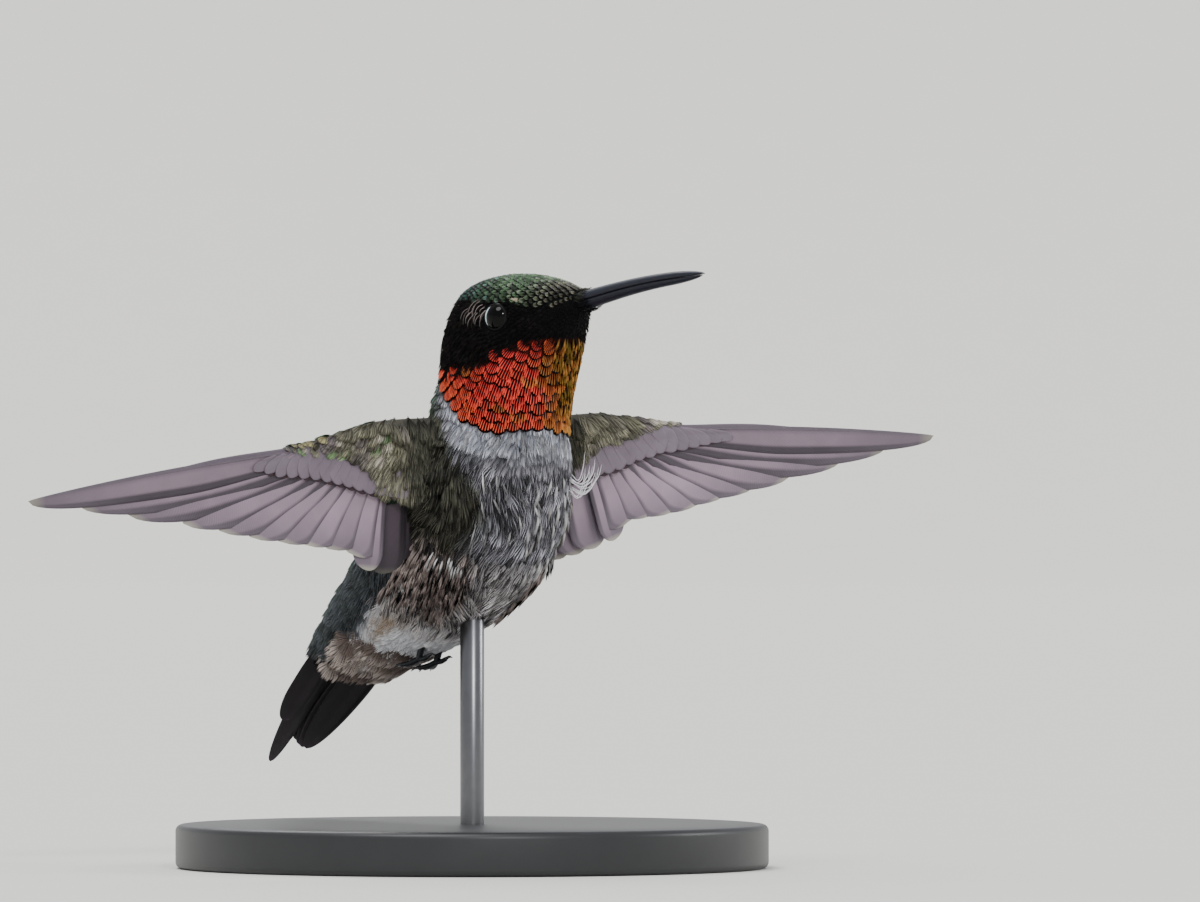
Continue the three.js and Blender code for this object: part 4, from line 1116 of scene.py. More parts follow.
class HUMMINGBIRD_OT_head(bpy.types.Operator):
    """Grow the crown, the black face and the gorget"""

    bl_idname = "hummingbird.head"
    bl_label = "Head plumage"

    def crown(self, spacing, rng):
        roots = rows_over(body, (0.1, 6.3), ALL_ROUND, spacing * 0.87, spacing * 1.15, rng, jitter=0.05)
        s, a = roots.T
        roots = roots[(np.abs(a) < border(CROWN_EDGE, s)) & (eye_distance(body.place(s, a)) > SCALES_CLEAR)]
        s, _ = roots.T
        tip = crown_colours(s, rng)
        small = lerp(0.72, 1.0, smooth(s, 0.2, 1.6))
        grow_coat("crown_scales", body, roots, "scale", plumage_material("crown_scales"),
                  size=(0.62 * small, 1.05 * small), proud=0.0, tint=tip * 0.5, tip=tip, ruffle=0.02,
                  seed=21, slot="crown")

    def face(self, rng):
        roots = wrapped(rows_over(body, (0.04, 6.7), FROM_BACK, 0.4, 0.38, rng))
        s, a = roots.T
        keep = np.abs(a) > border(CROWN_EDGE, s) - 0.1
        keep &= (past_top(s, a) < 0.2) & (eye_distance(body.place(s, a)) > VELVET_CLEAR)
        roots = roots[keep]
        s, a = roots.T
        tip = lerp(tone("0e0b0c"), tone("2e2726"), draws(rng, s) ** 2)
        size = lerp(0.5, 1.0, smooth(s, 0.2, 2.5))
        size = size * lerp(0.7, 1.0, smooth(eye_distance(body.place(s, a)), 1.4, 2.4))
        grow_coat("face_velvet", body, roots, "velvet", plumage_material("face_velvet"),
                  size=(0.5 * size, 0.95 * size), proud=0.0, tint=tone("030303"), tip=tip, ruffle=0.2,
                  seed=22, slot="crown")

    def gorget(self, spacing, rng):
        roots = wrapped(rows_over(body, (0.9, 6.5), FROM_BACK, spacing, spacing * 1.5, rng,
                                  jitter=0.04, start=foot_rows(0.62)))
        s, a = roots.T
        roots = roots[(np.abs(a) > GORGET_SIDE) & (past_top(s, a) > -0.28) & (past_foot(s, a) < -0.42)]
        s, a = roots.T
        tip = gorget_colours(s, a, rng)
        small = lerp(0.74, 1.0, smooth(past_top(s, a), -0.2, 1.3))
        foot = smooth(past_foot(s, a), -1.0, -0.6)
        grow_coat("gorget_scales", body, roots, "fan", plumage_material("gorget_scales"),
                  size=(1.7 * small, 2.0 * lerp(0.3, 1.0, small)), depth=GORGET_DEPTH,
                  proud=0.05 + 0.07 * foot, tint=tip * [0.75, 0.5, 0.65], tip=tip * [1.0, 1.15, 0.95],
                  roll=0.07, ruffle=0.02, seed=23, slot="gorget")

    def throat_streaks(self, rng):
        """Narrow copper and olive feathers stand on edge along the middle of the upper throat."""
        roots = rows_over(body, (1.4, 5.2), (math.pi - 1.35, math.pi + 0.25), 0.5, 0.36, rng, jitter=0.3)
        s, a = roots.T
        turn, fall = a - math.pi, gorget_fall(s)
        keep = rng.uniform(0, 1, len(s)) < smooth(-turn, lerp(-0.3, 0.35, fall), lerp(0.1, 0.75, fall)) * 0.8
        roots = wrapped(roots)
        roots = roots[keep & (past_top(*roots.T) > -0.2)]
        draw = draws(rng, roots)
        tip = np.where(draw > 0.6, tone("d8964a"), np.where(draw > 0.3, tone("94742e"), tone("2c1c0c")))
        grow_coat("gorget_streaks", body, roots, "streak", plumage_material("gorget_scales"),
                  size=(0.24, 1.3), depth=0.25, proud=0.16, tint=tip * 0.5, tip=tip, ruffle=0.05,
                  seed=25, slot="gorget")

    def eye_marks(self, rng):
        """Pale barbs behind each eye, and a cream spot before and above it."""
        for side in (-1, 1):
            paths, tints, places = [], [], []
            for _ in range(20):
                s0, a0 = rng.uniform(3.0, 3.6), rng.uniform(1.0, 1.36)
                drop, back = rng.uniform(0.06, 0.2), rng.uniform(0.15, 0.5)
                bend = rng.uniform(-0.05, 0.05)
                knots = ((0, 0, 0.02), (0.35, 0.3 + bend, 0.16), (0.7, 0.65 - bend, 0.2), (1, 1, 0.1))
                paths.append([body_surface(s0 + back * u, side * (a0 + drop * v), lift)
                              for u, v, lift in knots])
                tints.append(lerp(tone("2a2423"), tone("ab9d99"), rng.uniform(0, 1) ** 1.6))
                places.append(body_unwrap(s0, side * a0))
            loose_barbs("eye_wisps_" + ("left" if side > 0 else "right"), paths, 0.05, eye_axis(side),
                        tints, places, "crown")
        spots = np.array([(1.86 + 0.07 * i, side * (1.2 + 0.035 * j)) for side in (-1, 1)
                          for i in range(3) for j in range(3 - i)])
        grow_coat("eye_spots", body, spots, "velvet", plumage_material("loose_barbs"), size=(0.25, 0.45),
                  depth=0.1, proud=0.16, tint=tone("b9a888"), tip=tone("f0e6cc"), seed=27, slot="crown")

    def bill_feathers(self, rng):
        """Short feathers run forwards over the base of the bill."""
        roots = rows_over(bill_base, (-0.6, 0.75), ALL_ROUND, 0.3, 0.3, rng)
        s, a = roots.T
        below = smooth(np.abs(a), 1.2, 2.0)
        keep = s < lerp(0.35, 0.75, below)
        roots, below = roots[keep], below[keep]
        above = lerp(tone("2c2f27"), tone("5a5a48"), draws(rng, roots))
        grow_coat("bill_feathers", bill_base, roots, "velvet", plumage_material("face_velvet"),
                  size=(0.34, lerp(0.6, 0.75, below)), depth=0.02, proud=0.14, tint=tone("050505"),
                  tip=lerp(above, tone("141113"), below[:, None]), ruffle=0.16, seed=24, slot="crown")

    def execute(self, context):
        rng = np.random.default_rng(11)
        self.crown(size_of("crown_spacing"), rng)
        self.face(rng)
        self.gorget(size_of("gorget_spacing"), rng)
        self.throat_streaks(rng)
        self.eye_marks(rng)
        self.bill_feathers(rng)
        return {"FINISHED"}


# ---------------------------------------------------------------- trunk plumage

# Name, station range, range of the angle from the back, and material slot of each piece.
TRUNK_PIECES = (
    ("collar", 5.2, 6.6, 0.0, 3.2, "collar"),
    ("mantle", 6.6, 11.2, 0.0, 1.3, "rump"),
    ("flank", 6.6, 11.2, 1.3, 2.25, "breast"),
    ("breast", 6.6, 11.2, 2.25, 3.2, "breast"),
    ("rump_back", 11.2, 15.3, 0.0, 1.6, "rump"),
    ("vent", 11.2, 15.3, 1.6, 3.2, "rump"),
)


# Longer feathers over the contour feathers: kind, width, least and greatest length, how proud they
# stand, seed, slot, turn towards the middle of the belly, share of the coat's flow, and how dark
# the root is.
STROKES = {
    "collar_wisps": ("wisp", 0.7, (1.6, 2.6), 0.16, 61, "collar", 0.1, 1.0, 0.2),
    "breast_strokes": ("streak", 0.2, (1.7, 2.7), 0.5, 66, "breast", 0.3, 1.0, 0.75),
    "belly_white_tips": ("streak", 0.2, (1.5, 2.1), 0.75, 62, "breast", 0.25, 0.0, 0.8),
    "belly_streaks": ("streak", 0.17, (1.7, 2.9), 0.26, 63, "breast", 0.22, 0.0, 0.5),
    "flank_locks": ("plume", 1.5, (3.0, 4.0), 0.5, 67, "breast", 0.0, 1.0, 0.2),
}
TIP_RANK = 18  # white-tipped feathers on each side of the belly


def flow(s, a):
    """Turn of the trunk's feathers: in gentle swirls, and towards the middle of the belly."""
    swirl = (speckle(body.place(s, a), 6.5, 9) - 0.5) * 0.7
    inward = 0.15 + 0.4 * band(s, 8.8, 9.8, 11.0, 12.0)
    return swirl - np.sign(a) * inward * band(np.abs(a), 1.2, 2.0, 2.7, 3.14)


def scatter(rng, count, low, high, near, far):
    """Roots at random between two stations and two angles from the back, on both sides."""
    return np.column_stack([rng.uniform(low, high, count),
                            rng.uniform(near, far, count) * rng.choice([-1, 1], count)])


class HUMMINGBIRD_OT_trunk(bpy.types.Operator):
    """Grow the contour feathers of the neck, back, flanks, breast, belly and rump"""

    bl_idname = "hummingbird.trunk"
    bl_label = "Trunk plumage"

    def contour_feathers(self, spacing, rng):
        every = wrapped(rows_over(body, (4.6, 15.2), FROM_BACK, spacing, spacing * 1.05, rng,
                                  start=foot_rows(0.32), jitter=0.25))
        s, a = every.T
        every = every[(past_foot(s, a) > -0.4) & (s > 4.7) & (s < 14.1)]
        for number, (name, low, high, near, far, slot) in enumerate(TRUNK_PIECES):
            s, a = every.T
            mine = (s >= low) & (s < high) & (np.abs(a) >= near) & (np.abs(a) < far)
            if name == "collar":
                mine |= s < low
            roots = every[mine]
            s, a = roots.T
            draw = np.random.default_rng(40 + number)
            length = lerp(2.1, 3.1, smooth(s, 6.0, 8.0)) * (1 - 0.3 * smooth(s, 11.3, 12.3))
            root, tip = trunk_markings(s + 0.19 * length, a, draw)
            tucked = 1 - smooth(past_foot(s, a), -0.2, 0.3)  # under the gorget's last scales
            stray = (draw.uniform(0, 1, len(s)) > 0.93) & (name in ("breast", "flank"))
            kind = {"collar": "silk", "vent": "cloud"}.get(name, "plume")
            grow_coat("coat_" + name, body, roots, kind, plumage_material("coat_feathers"),
                      size=(np.where(stray, 1.0, 1.7), np.where(stray, length * 1.25, length)),
                      depth=coat_depth(s, a) + 0.3 * tucked, proud=np.where(stray, 0.3, 0.08) - 0.12 * tucked,
                      tint=root, tip=tip, lean=flow(s, a) + draw.uniform(-0.06, 0.06, len(s)), ruffle=0.05,
                      seed=50 + number, slot=slot)

    def strokes(self, rng, name, roots, tip):
        kind, width, lengths, proud, seed, slot, turned, follow, base = STROKES[name]
        s, a = roots.T
        grow_coat(name, body, roots, kind, plumage_material("coat_feathers"),
                  size=(width, rng.uniform(*lengths, len(s))), proud=proud, tint=tip * base, tip=tip,
                  ruffle=0.08, lean=flow(s, a) * follow - np.sign(a) * turned, seed=seed, slot=slot)

    def accents(self, rng):
        """The loose white barbs of the collar, the pale feathers of the breast, the white-tipped
        rank and the streaks of the belly, and the olive locks of the flanks."""
        roots = scatter(rng, 460, 5.6, 7.1, 1.05, math.pi)
        s, a = roots.T
        roots = roots[(past_foot(s, a) > 0.05) & (s < border(COLLAR_FOOT, np.abs(a)) - 0.5)]
        self.strokes(rng, "collar_wisps", roots, lerp(tone("c9cbd8"), tone("ffffff"), draws(rng, roots)))

        roots = scatter(rng, 48, 7.0, 9.4, 2.2, math.pi)
        pale = lerp(tone("a39d9f"), tone("ffffff"), draws(rng, roots) ** 1.5)
        self.strokes(rng, "breast_strokes", roots, pale)

        a = np.concatenate([np.linspace(1.93, 2.5, TIP_RANK) * side + rng.uniform(-0.02, 0.02, TIP_RANK)
                            for side in (-1, 1)])
        s = lerp(9.55, 9.3, (np.abs(a) - 2.0) / 0.6) + rng.uniform(-0.15, 0.15, len(a))
        tip = np.where(draws(rng, a) > 0.3, tone("ffffff"), tone("0c0a0b"))
        self.strokes(rng, "belly_white_tips", np.column_stack([s, a]), tip)

        roots = scatter(rng, 560, 9.4, 10.9, 1.72, 2.66)
        draw = draws(rng, roots)
        tip = np.where(draw > 0.25, lerp(tone("a08e8a"), tone("ffebe4"), draw ** 1.3), tone("0c0a0b"))
        self.strokes(rng, "belly_streaks", roots, tip)

        roots = scatter(rng, 90, 7.1, 9.2, 1.25, 1.62)
        self.strokes(rng, "flank_locks", roots, lerp(tone("1c1c15"), chosen("flank"), draws(rng, roots)))

    def side_wisps(self, rng):
        """White barbs curl out from the bird's left side over the wing."""
        paths, places = [], []
        for _ in range(16):
            s0, a0 = rng.uniform(7.2, 7.6), rng.uniform(2.2, 2.5)
            out, up, curl = rng.uniform(0.9, 2.5), rng.uniform(0.2, 3.0), rng.uniform(-0.4, 0.4)
            root = body_surface(s0, a0, -0.1)
            paths.append([root, root + [out * 0.45, -out * 0.3, -0.6 + curl * 0.5],
                          root + [out * 0.85, -out * 0.5, up * 0.35 - 0.4 + curl * 0.4],
                          root + [out, -out * 0.55, up * 0.7 + curl]])
            places.append(body_unwrap(s0, a0))
        loose_barbs("side_wisps", paths, 0.085, (-0.6, -0.8, 0), [tone("f2f1f6")] * len(paths), places,
                    "breast")

    def tail_coverts(self, rng):
        """Rounded coverts under the root of the tail, and softer ones over it."""
        soft = plumage_material("coat_feathers")
        under = wrapped(rows_over(body, (12.5, 14.1), (math.pi - 1.35, math.pi + 1.35), 1.5, 1.8, rng))
        s, a = under.T
        pale = rng.uniform(0.85, 1.1, (len(s), 1))
        blotch = smooth(speckle(body.place(s, a), 2.6, 6), 0.42, 0.6)[:, None]
        grow_coat("undertail_coverts", body, under, "covert", soft, size=(3.0, 3.7), proud=0.25,
                  tint=tone("625753") * pale, tip=lerp(tone("ddcec6"), tone("86756d"), blotch) * pale,
                  roll=0.05, ruffle=0.03, seed=64, slot="rump")
        over = rows_over(body, (10.9, 13.9), (-1.6, 1.6), 1.15, 1.35, rng, jitter=0.15)
        s, a = over.T
        pale = rng.uniform(0.6, 1.15, (len(s), 1))
        side = lerp(tone("646b73"), tone("505a58"), draws(rng, s))
        tip = lerp(tone("3f5c49"), side, smooth(np.abs(a), 0.5, 1.0)[:, None])
        grow_coat("rump_coverts", body, over, "silk", soft, size=(2.0, 2.9), proud=0.2,
                  tint=tone("2e3236") * pale, tip=tip * pale, roll=0.05, ruffle=0.05, seed=65, slot="rump")

    def execute(self, context):
        self.contour_feathers(size_of("body_spacing"), np.random.default_rng(31))
        rng = np.random.default_rng(32)
        self.accents(rng)
        self.side_wisps(rng)
        self.tail_coverts(rng)
        return {"FINISHED"}


# ---------------------------------------------------------------- bill


BILL_STOPS = np.concatenate([np.linspace(-0.04, 0.86, 40), np.linspace(0.88, 1.0, 14)])
BILL_SIDES = 15
BILL_DEEP, BILL_THIN = 1.75, 1.0  # its depth at the root and before the tip
BILL_ARCH, BILL_SEAM = 0.3, 0.03  # rise of its middle, and half the gap of the closed mouth
BILL_TAPER, BILL_POINT = 0.72, 1.005  # where the tip begins to narrow, and where it would end
# Of the upper and the lower half: length, share of the depth, width by depth, and roundness.
HALVES = {1: (BILL_LENGTH, 0.55, 0.55, 0.85), -1: (BILL_LENGTH - 0.3, 0.45, 0.5, 1.0)}


def bill_material():
    material, tree, shader = new_material("bill_horn", Roughness=0.42, Specular_IOR_Level=0.3,
                                          Coat_Weight=0.05, Coat_Roughness=0.3)
    along, ridge = (attribute(tree, name).outputs["Fac"] for name in ("along", "ridge"))
    # The black horn turns slate where the painted sheen lies.
    horn = mix_colour(tree, math_node(tree, "MULTIPLY", ridge, 0.8),
                      rgba(chosen("bill")), rgba(tone("2b303c")))
    past = math_node(tree, "SUBTRACT", along, 0.985, clamp=True)
    tipped = mix_colour(tree, math_node(tree, "MULTIPLY", past, 40.0, clamp=True), horn, rgba(tone("8d8a80")))
    finish(tree, shader, tipped, 0.5, 1500.0, (0.15, 0.00003))
    return material


def mandible(side):
    """Rings of the upper (1) or lower (-1) half of the bill."""
    length, share, width, roundness = HALVES[side]
    angles = np.radians(np.linspace(0, 180, BILL_SIDES))
    rings = []
    for u in BILL_STOPS:
        past = max(0.0, (u - BILL_TAPER) / (BILL_POINT - BILL_TAPER))
        height = lerp(BILL_DEEP, BILL_THIN, max(u, 0)) * math.sqrt(max(0.004, 1 - past * past))
        mouth = BILL_ARCH * math.sin(math.pi * u) - 0.05 * height + side * BILL_SEAM
        deep = max(0.05, height * share - BILL_SEAM)
        rings.append(head_point(np.full(BILL_SIDES, u * length), -np.cos(angles) * height * width,
                                mouth + side * np.sin(angles) ** roundness * deep))
    return np.array(rings)


class HUMMINGBIRD_OT_bill(bpy.types.Operator):
    """Make the two halves of the bill"""

    bl_idname = "hummingbird.bill"
    bl_label = "Bill"

    def execute(self, context):
        material = bill_material()
        along = np.append(np.repeat(BILL_STOPS, BILL_SIDES), [BILL_STOPS[0], BILL_STOPS[-1]])
        # Painted sheen across each half, strongest on the middle of its outer face; the lower half takes only
        # a faint share.
        ridge = np.sin(np.radians(np.linspace(0, 180, BILL_SIDES))) ** 3
        ridge = np.append(np.tile(ridge, len(BILL_STOPS)), [0, 0])
        for side, name, shine in ((1, "upper", 1.0), (-1, "lower", 0.2)):
            made = mesh_object("mandible_" + name, *tube(mandible(side)), material)
            set_points(made.data, "along", "FLOAT", along)
            set_points(made.data, "ridge", "FLOAT", ridge * shine)
            keep_on_body(made, "bill", "bill_" + name)
        return {"FINISHED"}


# ---------------------------------------------------------------- eyes


def ring_round(axis, turn):
    """Unit vectors round an axis, the first one level."""
    across = unit(np.cross(axis, [0, 0, 1.0]))
    above = np.cross(across, axis)
    return np.cos(turn)[:, None] * across + np.sin(turn)[:, None] * above


class HUMMINGBIRD_OT_eyes(bpy.types.Operator):
    """Make the eyes and the rings of their lids"""

    bl_idname = "hummingbird.eyes"
    bl_label = "Eyes"

    def globe(self, side, name, material):
        axis, centre = eye_axis(side), eye_centre(side)
        polar = np.concatenate([np.linspace(0.03, 1.2, 70), np.linspace(1.25, math.pi - 0.05, 20)])
        around = ring_round(axis, ring(GLOBE_SIDES))
        rings = [centre + EYE_RADIUS * (math.cos(p) * axis + math.sin(p) * around) for p in polar]
        points, faces = tube(rings)
        points[-2:] = [centre + EYE_RADIUS * axis, centre - EYE_RADIUS * axis]
        made = mesh_object("globe_" + name, points, faces, material)
        facing = (points - centre) @ axis / EYE_RADIUS
        set_points(made.data, "facing", "FLOAT", smooth(facing, 0.55, 0.9))
        # A pale arc along the rear edge is a painted reflection of the bright surroundings at the globe's
        # grazing rim, not a part of the eye.
        across = unit(points - centre - np.outer((points - centre) @ axis, axis))
        rear = across @ unit(0.25 * UP - FORWARD)
        depth = LID_HEIGHT + 0.085 + 0.13 * smooth(rear, 0.45, 1.0)
        crescent = smooth(rear, 0.5, 0.7) * (1 - smooth(facing - depth, -0.05, 0.02))
        set_points(made.data, "crescent", "FLOAT", crescent)
        keep_on_body(made, "eye", "eye_" + name)

    def lid(self, side, name, material):
        """A thin beaded ring that lies on the globe."""
        axis, centre = eye_axis(side), eye_centre(side)
        rows = []
        for k, spoke in enumerate(ring_round(axis, ring(LID_BEADS * BEAD_STEPS))):
            thick = LID_THICKNESS * (1 + 0.16 * math.cos(k * 2 * math.pi / BEAD_STEPS))
            middle = centre + EYE_RADIUS * (LID_HEIGHT * axis + math.sqrt(1 - LID_HEIGHT ** 2) * spoke)
            rows.append([middle + thick * (math.cos(t) * spoke + 0.8 * math.sin(t) * axis)
                         for t in ring(LID_SIDES)])
        points = np.array(rows).reshape(-1, 3)
        faces = [tuple(v % len(points) for v in f) for f in grid_faces(len(rows) + 1, LID_SIDES, True)]
        keep_on_body(mesh_object("lid_" + name, points, outward(points - centre, faces), material), "crown")

    def execute(self, context):
        globe, tree, shader = new_material("eye_wet", Roughness=0.03, Specular_IOR_Level=0.13)
        iris, pale = (attribute(tree, name).outputs["Fac"] for name in ("facing", "crescent"))
        dark = mix_colour(tree, iris, rgba(tone("070504")), rgba(tone("010101")))
        # The painted reflection lightens the dark globe to a pale arc by its rear rim.
        finish(tree, shader, mix_colour(tree, pale, dark, rgba(tone("d8ecef"))), 0.2, 3000.0)
        lid = plain_material("eye_lid", tone("0b0b0d"), 0.8, 4000.0, (0.6, 0.00005), Roughness=0.5,
                             Specular_IOR_Level=0.15)
        for side, name in ((-1, "right"), (1, "left")):
            self.globe(side, name, globe)
            self.lid(side, name, lid)
        return {"FINISHED"}


# ---------------------------------------------------------------- wings

SHOULDER = {"out": 6.5, "y": -1.0, "z": 6.0}
WING_TIP = {"right": (-49.6, 1.0, 0.0), "left": (49.95, -2.8, 5.9)}
WING_PITCH = math.radians(3)
# Places in the wing's plane: along the line from the shoulder to the tip, and back from it.
TRAILING_EDGE = {
    "right": ((43.5, 0), (38.3, 1.3), (33.2, 2.9), (27, 4.8), (20.2, 7.2), (14.3, 9.0), (9.8, 10.6),
              (6.2, 12.1), (3.8, 11.0), (1.8, 9.2), (0.6, 7.6)),
    "left": ((43.5, 0), (38.3, 1.2), (33.2, 2.6), (27, 4.3), (20.2, 6.2), (14.3, 8.0), (9.8, 8.9),
             (6.8, 10.3), (4.6, 11.2), (2.8, 11.7), (1.4, 10.6)),
}
PRIMARY_REACH = (43.5, 38.3, 33.2, 27.4, 23.6, 20.4, 17.4, 14.6, 12.1, 9.9)  # outermost first
PRIMARY_ROOTS = ((13.5, -0.45), (6.9, 1.0))  # of the outermost and of the innermost
PRIMARY_WIDTHS, OUTERMOST_WIDTH = (3.7, 4.5), 2.6
LEADING_SHARE, OUTERMOST_LEAD = 0.27, 0.3  # of a primary's width before its shaft, and its width there
SECONDARY_REACH = {"right": (7.8, 6.0, 4.4, 2.9, 1.5), "left": (8.0, 6.4, 5.0, 3.6, 2.2)}
# Brightness of the secondaries, outermost first. The right wing's inner ones are darkened to a deep purple,
# partly their own colour and partly painted shade for the shadow beside the body.
SECONDARY_SHADE = {"right": (0.95, 0.2, 0.17, 0.16, 0.15), "left": (0.95, 0.9, 0.8, 0.6, 0.4)}
COVERT_END = 20.6
FLIGHT_SKEW = 0.6  # how far the feathers' ends follow the wing's trailing edge
SECONDARY_ROOTS = {"right": (6.0, 0.6), "left": (5.0, -1.4)}
# The fleshy leading part: place along, front, rear, thickness and height of its middle.
WING_PAD = np.array([
    (-3.5, -1.3, 2.2, 1.4, -1.6), (0, -1.7, 2.4, 1.8, -1.1), (2.5, -2.0, 2.4, 2.0, -0.5),
    (4.5, -2.2, 2.2, 2.1, 0.0), (6, -2.25, 1.9, 1.9, 0.0), (9, -1.9, 1.3, 1.5, 0.0),
    (12, -1.5, 0.9, 1.1, 0.0), (15, -1.25, 0.4, 0.8, 0.0), (18, -0.8, 0.1, 0.6, 0.1),
    (21, -0.4, -0.1, 0.3, 0.2)])
PAD_POWER = 0.8  # of the pad's section, which is thinner at its edges than an ellipse
PAD_LEAN = 0.3  # how much thinner it is at its rear edge than at its middle
PAD_ENDS, PAD_ROWS, PAD_SIDES = (-3.4, 21.0), 90, 40
PAD_DEPTH = 0.3  # of the feathers over its skin
# Where the tips of the greater coverts end, and where the olive lesser coverts end.
COVERT_TIPS = {
    "right": ((3.8, 5.5), (5.9, 4.8), (8.0, 4.2), (10.2, 3.2), (12.0, 2.5), (13.4, 2.0), (15.3, 1.6),
              (17.4, 1.3), (19.1, 0.6), (21, 0.2)),
    "left": ((3.0, 4.4), (5.4, 3.7), (7, 3.4), (8.1, 3.1), (10.3, 2.1), (11.9, 1.7), (13, 1.2), (14.7, 1.1),
             (18, 0.6), (20.5, 0.2)),
}
OLIVE_EDGE = {
    "right": ((3.0, 5.6), (3.8, 5.4), (5.9, 4.8), (6.9, 4.1), (7.3, 3.0), (7.8, 1.8), (8.3, 1.1), (9.9, 0.8),
              (12.1, 0.4), (14.8, -0.1), (16.6, -0.7), (21, -0.9)),
    "left": ((2.0, 4.9), (3.0, 4.4), (3.6, 4.0), (4.3, 3.2), (4.6, 1.8), (4.9, 1.1), (6.4, 0.6), (8.6, 0.2),
             (10.2, -0.2), (12.4, -0.6), (16, -0.9), (21, -1.0)),
}


def pad_section(s):
    """Front, rear, thickness and height of the middle of the pad."""
    return (np.interp(s, WING_PAD[:, 0], WING_PAD[:, k]) for k in (1, 2, 3, 4))


class Wing:
    """The plane of one wing and the places in it, in millimetres."""

    def __init__(self, side):
        self.side = side
        self.name = "right" if side < 0 else "left"
        shoulder = TRUNK + [side * SHOULDER["out"], SHOULDER["y"], SHOULDER["z"]]
        tip = TRUNK + WING_TIP[self.name]
        self.shoulder = shoulder
        self.along = unit(tip - shoulder)
        back = np.array([0, math.sin(WING_PITCH), -math.cos(WING_PITCH)])
        self.back = unit(back - self.along * (back @ self.along))
        self.belly = unit(np.cross(self.along, self.back) * -side)

    def at(self, s, c, up=0.0):
        s, c, up = (np.asarray(v, float)[..., None] for v in np.broadcast_arrays(s, c, up))
        return self.shoulder + self.along * s + self.back * c + self.belly * up

    def edge(self, s):
        table = np.array(TRAILING_EDGE[self.name])[::-1]
        return float(np.interp(s, table[:, 0], table[:, 1]))

    def pad(self, s, a):
        """The skin of the pad, under its feathers; the angle is 0 at its rear edge."""
        front, rear, thick, middle = pad_section(s)
        half = np.maximum((rear - front) / 2 - PAD_DEPTH, 0.08)
        bend = np.sign(np.sin(a)) * np.abs(np.sin(a)) ** (2 * PAD_POWER) * (1 - PAD_LEAN * np.cos(a))
        rise = np.maximum(thick / 2 - PAD_DEPTH, 0.05) * bend
        return self.at(s, (front + rear) / 2 + half * np.cos(a), middle + rise)

    def face(self, side):
        """The belly side (1) or the back (-1) of the inner wing as a surface over (along, back)."""
        def place(s, c, grow=0.0):
            s, c = np.broadcast_arrays(np.asarray(s, float), np.asarray(c, float))
            front, rear, thick, middle = pad_section(s)
            x = np.clip((c - (front + rear) / 2) / ((rear - front) / 2), -1, 1)
            rise = thick / 2 * (1 - x * x) ** PAD_POWER * (1 - PAD_LEAN * x)
            least = 0.3 - 0.3 * (x < 0)
            over = np.maximum(0, front - c)
            return self.at(s, c + over, side * (np.maximum(rise + side * middle, least) + grow))

        def unwrap(s, c):
            """The two faces lie side by side."""
            across = 0.02 + 0.46 * (c + 3.0) / 9.5 + 0.25 * (1 + side)
            return np.stack([across, 0.02 + 0.96 * (s + 3.6) / 25], -1)

        return Surface(place, unwrap, 0.2, PAD_ENDS)


VANE_ROWS, VANE_COLUMNS, QUILL_SIDES = 26, 8, 6  # columns on each side of the shaft


def vane(place, root, tip, lead, trail, *, point=0.7, narrow=0.5, sweep=0.0, tilt=0.0, rise=(0.0, 0.0),
         bow=0.0, thick=0.14, rows=VANE_ROWS, columns=VANE_COLUMNS, blunt=0.0, skew=0.0):
    """A closed feather vane with its shaft. `place(s, c, up)` gives points of the plane that it
    lies in, `root` and `tip` are in that plane, and `rise` is its height there at both ends."""
    root, tip = np.asarray(root, float), np.asarray(tip, float)
    shaft = unit(tip - root)
    across = np.array([-shaft[1], shaft[0]])  # towards the trailing side
    across = across * (-1 if across[1] < 0 else 1)
    u = 1 - (1 - np.linspace(0, 1, rows)) ** 1.35
    past = np.clip((u - point) / (1 - point), 0, 1)
    opening = lerp(narrow, 1, smooth(u, 0, 0.45)) * np.sqrt(np.maximum(1 - past ** 2, blunt))
    w = np.linspace(-1, 1, columns * 2 + 1)
    wide = len(w)
    width = np.where(w < 0, lead, trail)[None, :] * w[None, :] * opening[:, None]
    line = root + (tip - root) * u[:, None] + across * (sweep * np.sin(math.pi * u))[:, None]
    slant = skew * width * smooth(u, 0.45, 1)[:, None]
    flat = line[:, None, :] + across * width[..., None] + shaft * slant[..., None]
    height = lerp(rise[0], rise[1], u)[:, None] + tilt * width + bow * np.sin(math.pi * u)[:, None]
    height = height - 0.03 * width ** 2
    body_thick = thick * lerp(1, 0.35, u)[:, None] * (1 - 0.75 * np.abs(w)[None, :])
    sheets = [place(flat[..., 0], flat[..., 1], height + sign * body_thick / 2) for sign in (1, -1)]
    points = np.vstack([sheet.reshape(-1, 3) for sheet in sheets])
    count = rows * wide
    top = grid_faces(rows, wide, False)
    faces = top + [tuple(i + count for i in reversed(f)) for f in top]
    grid = np.arange(count).reshape(rows, wide)
    rim = [*grid[0], *grid[1:, -1], *grid[-1, -2::-1], *grid[-2:0:-1, 0]]
    faces += [(i, i + count, j + count, j) for i, j in zip(rim, rim[1:] + rim[:1])]
    local = np.stack(np.broadcast_arrays((w[None, :] + 1) / 2, u[:, None]), -1).reshape(-1, 2)

    quill_rows = []
    radius = lerp(0.13, 0.02, u[:-1]) * min(1.0, (lead + trail) / 3)
    turn = ring(QUILL_SIDES)[:, None]
    for (s, c), up, thin in zip(line, height[:, columns], radius):
        middle = place(s, c, up)
        out = unit(place(s, c, up + 1) - middle)
        over = unit(place(s + across[0], c + across[1], up) - middle)
        quill_rows.append(middle + thin * (np.cos(turn) * over + np.sin(turn) * out * 1.1))
    quill = tube(quill_rows)
    quill_local = np.column_stack([np.full(len(quill[0]), 0.5),
                                   np.append(np.repeat(u[:-1], QUILL_SIDES), [0, 1])])
    return (points, outward(points - points.mean(0), faces), np.vstack([local, local])), (*quill, quill_local)


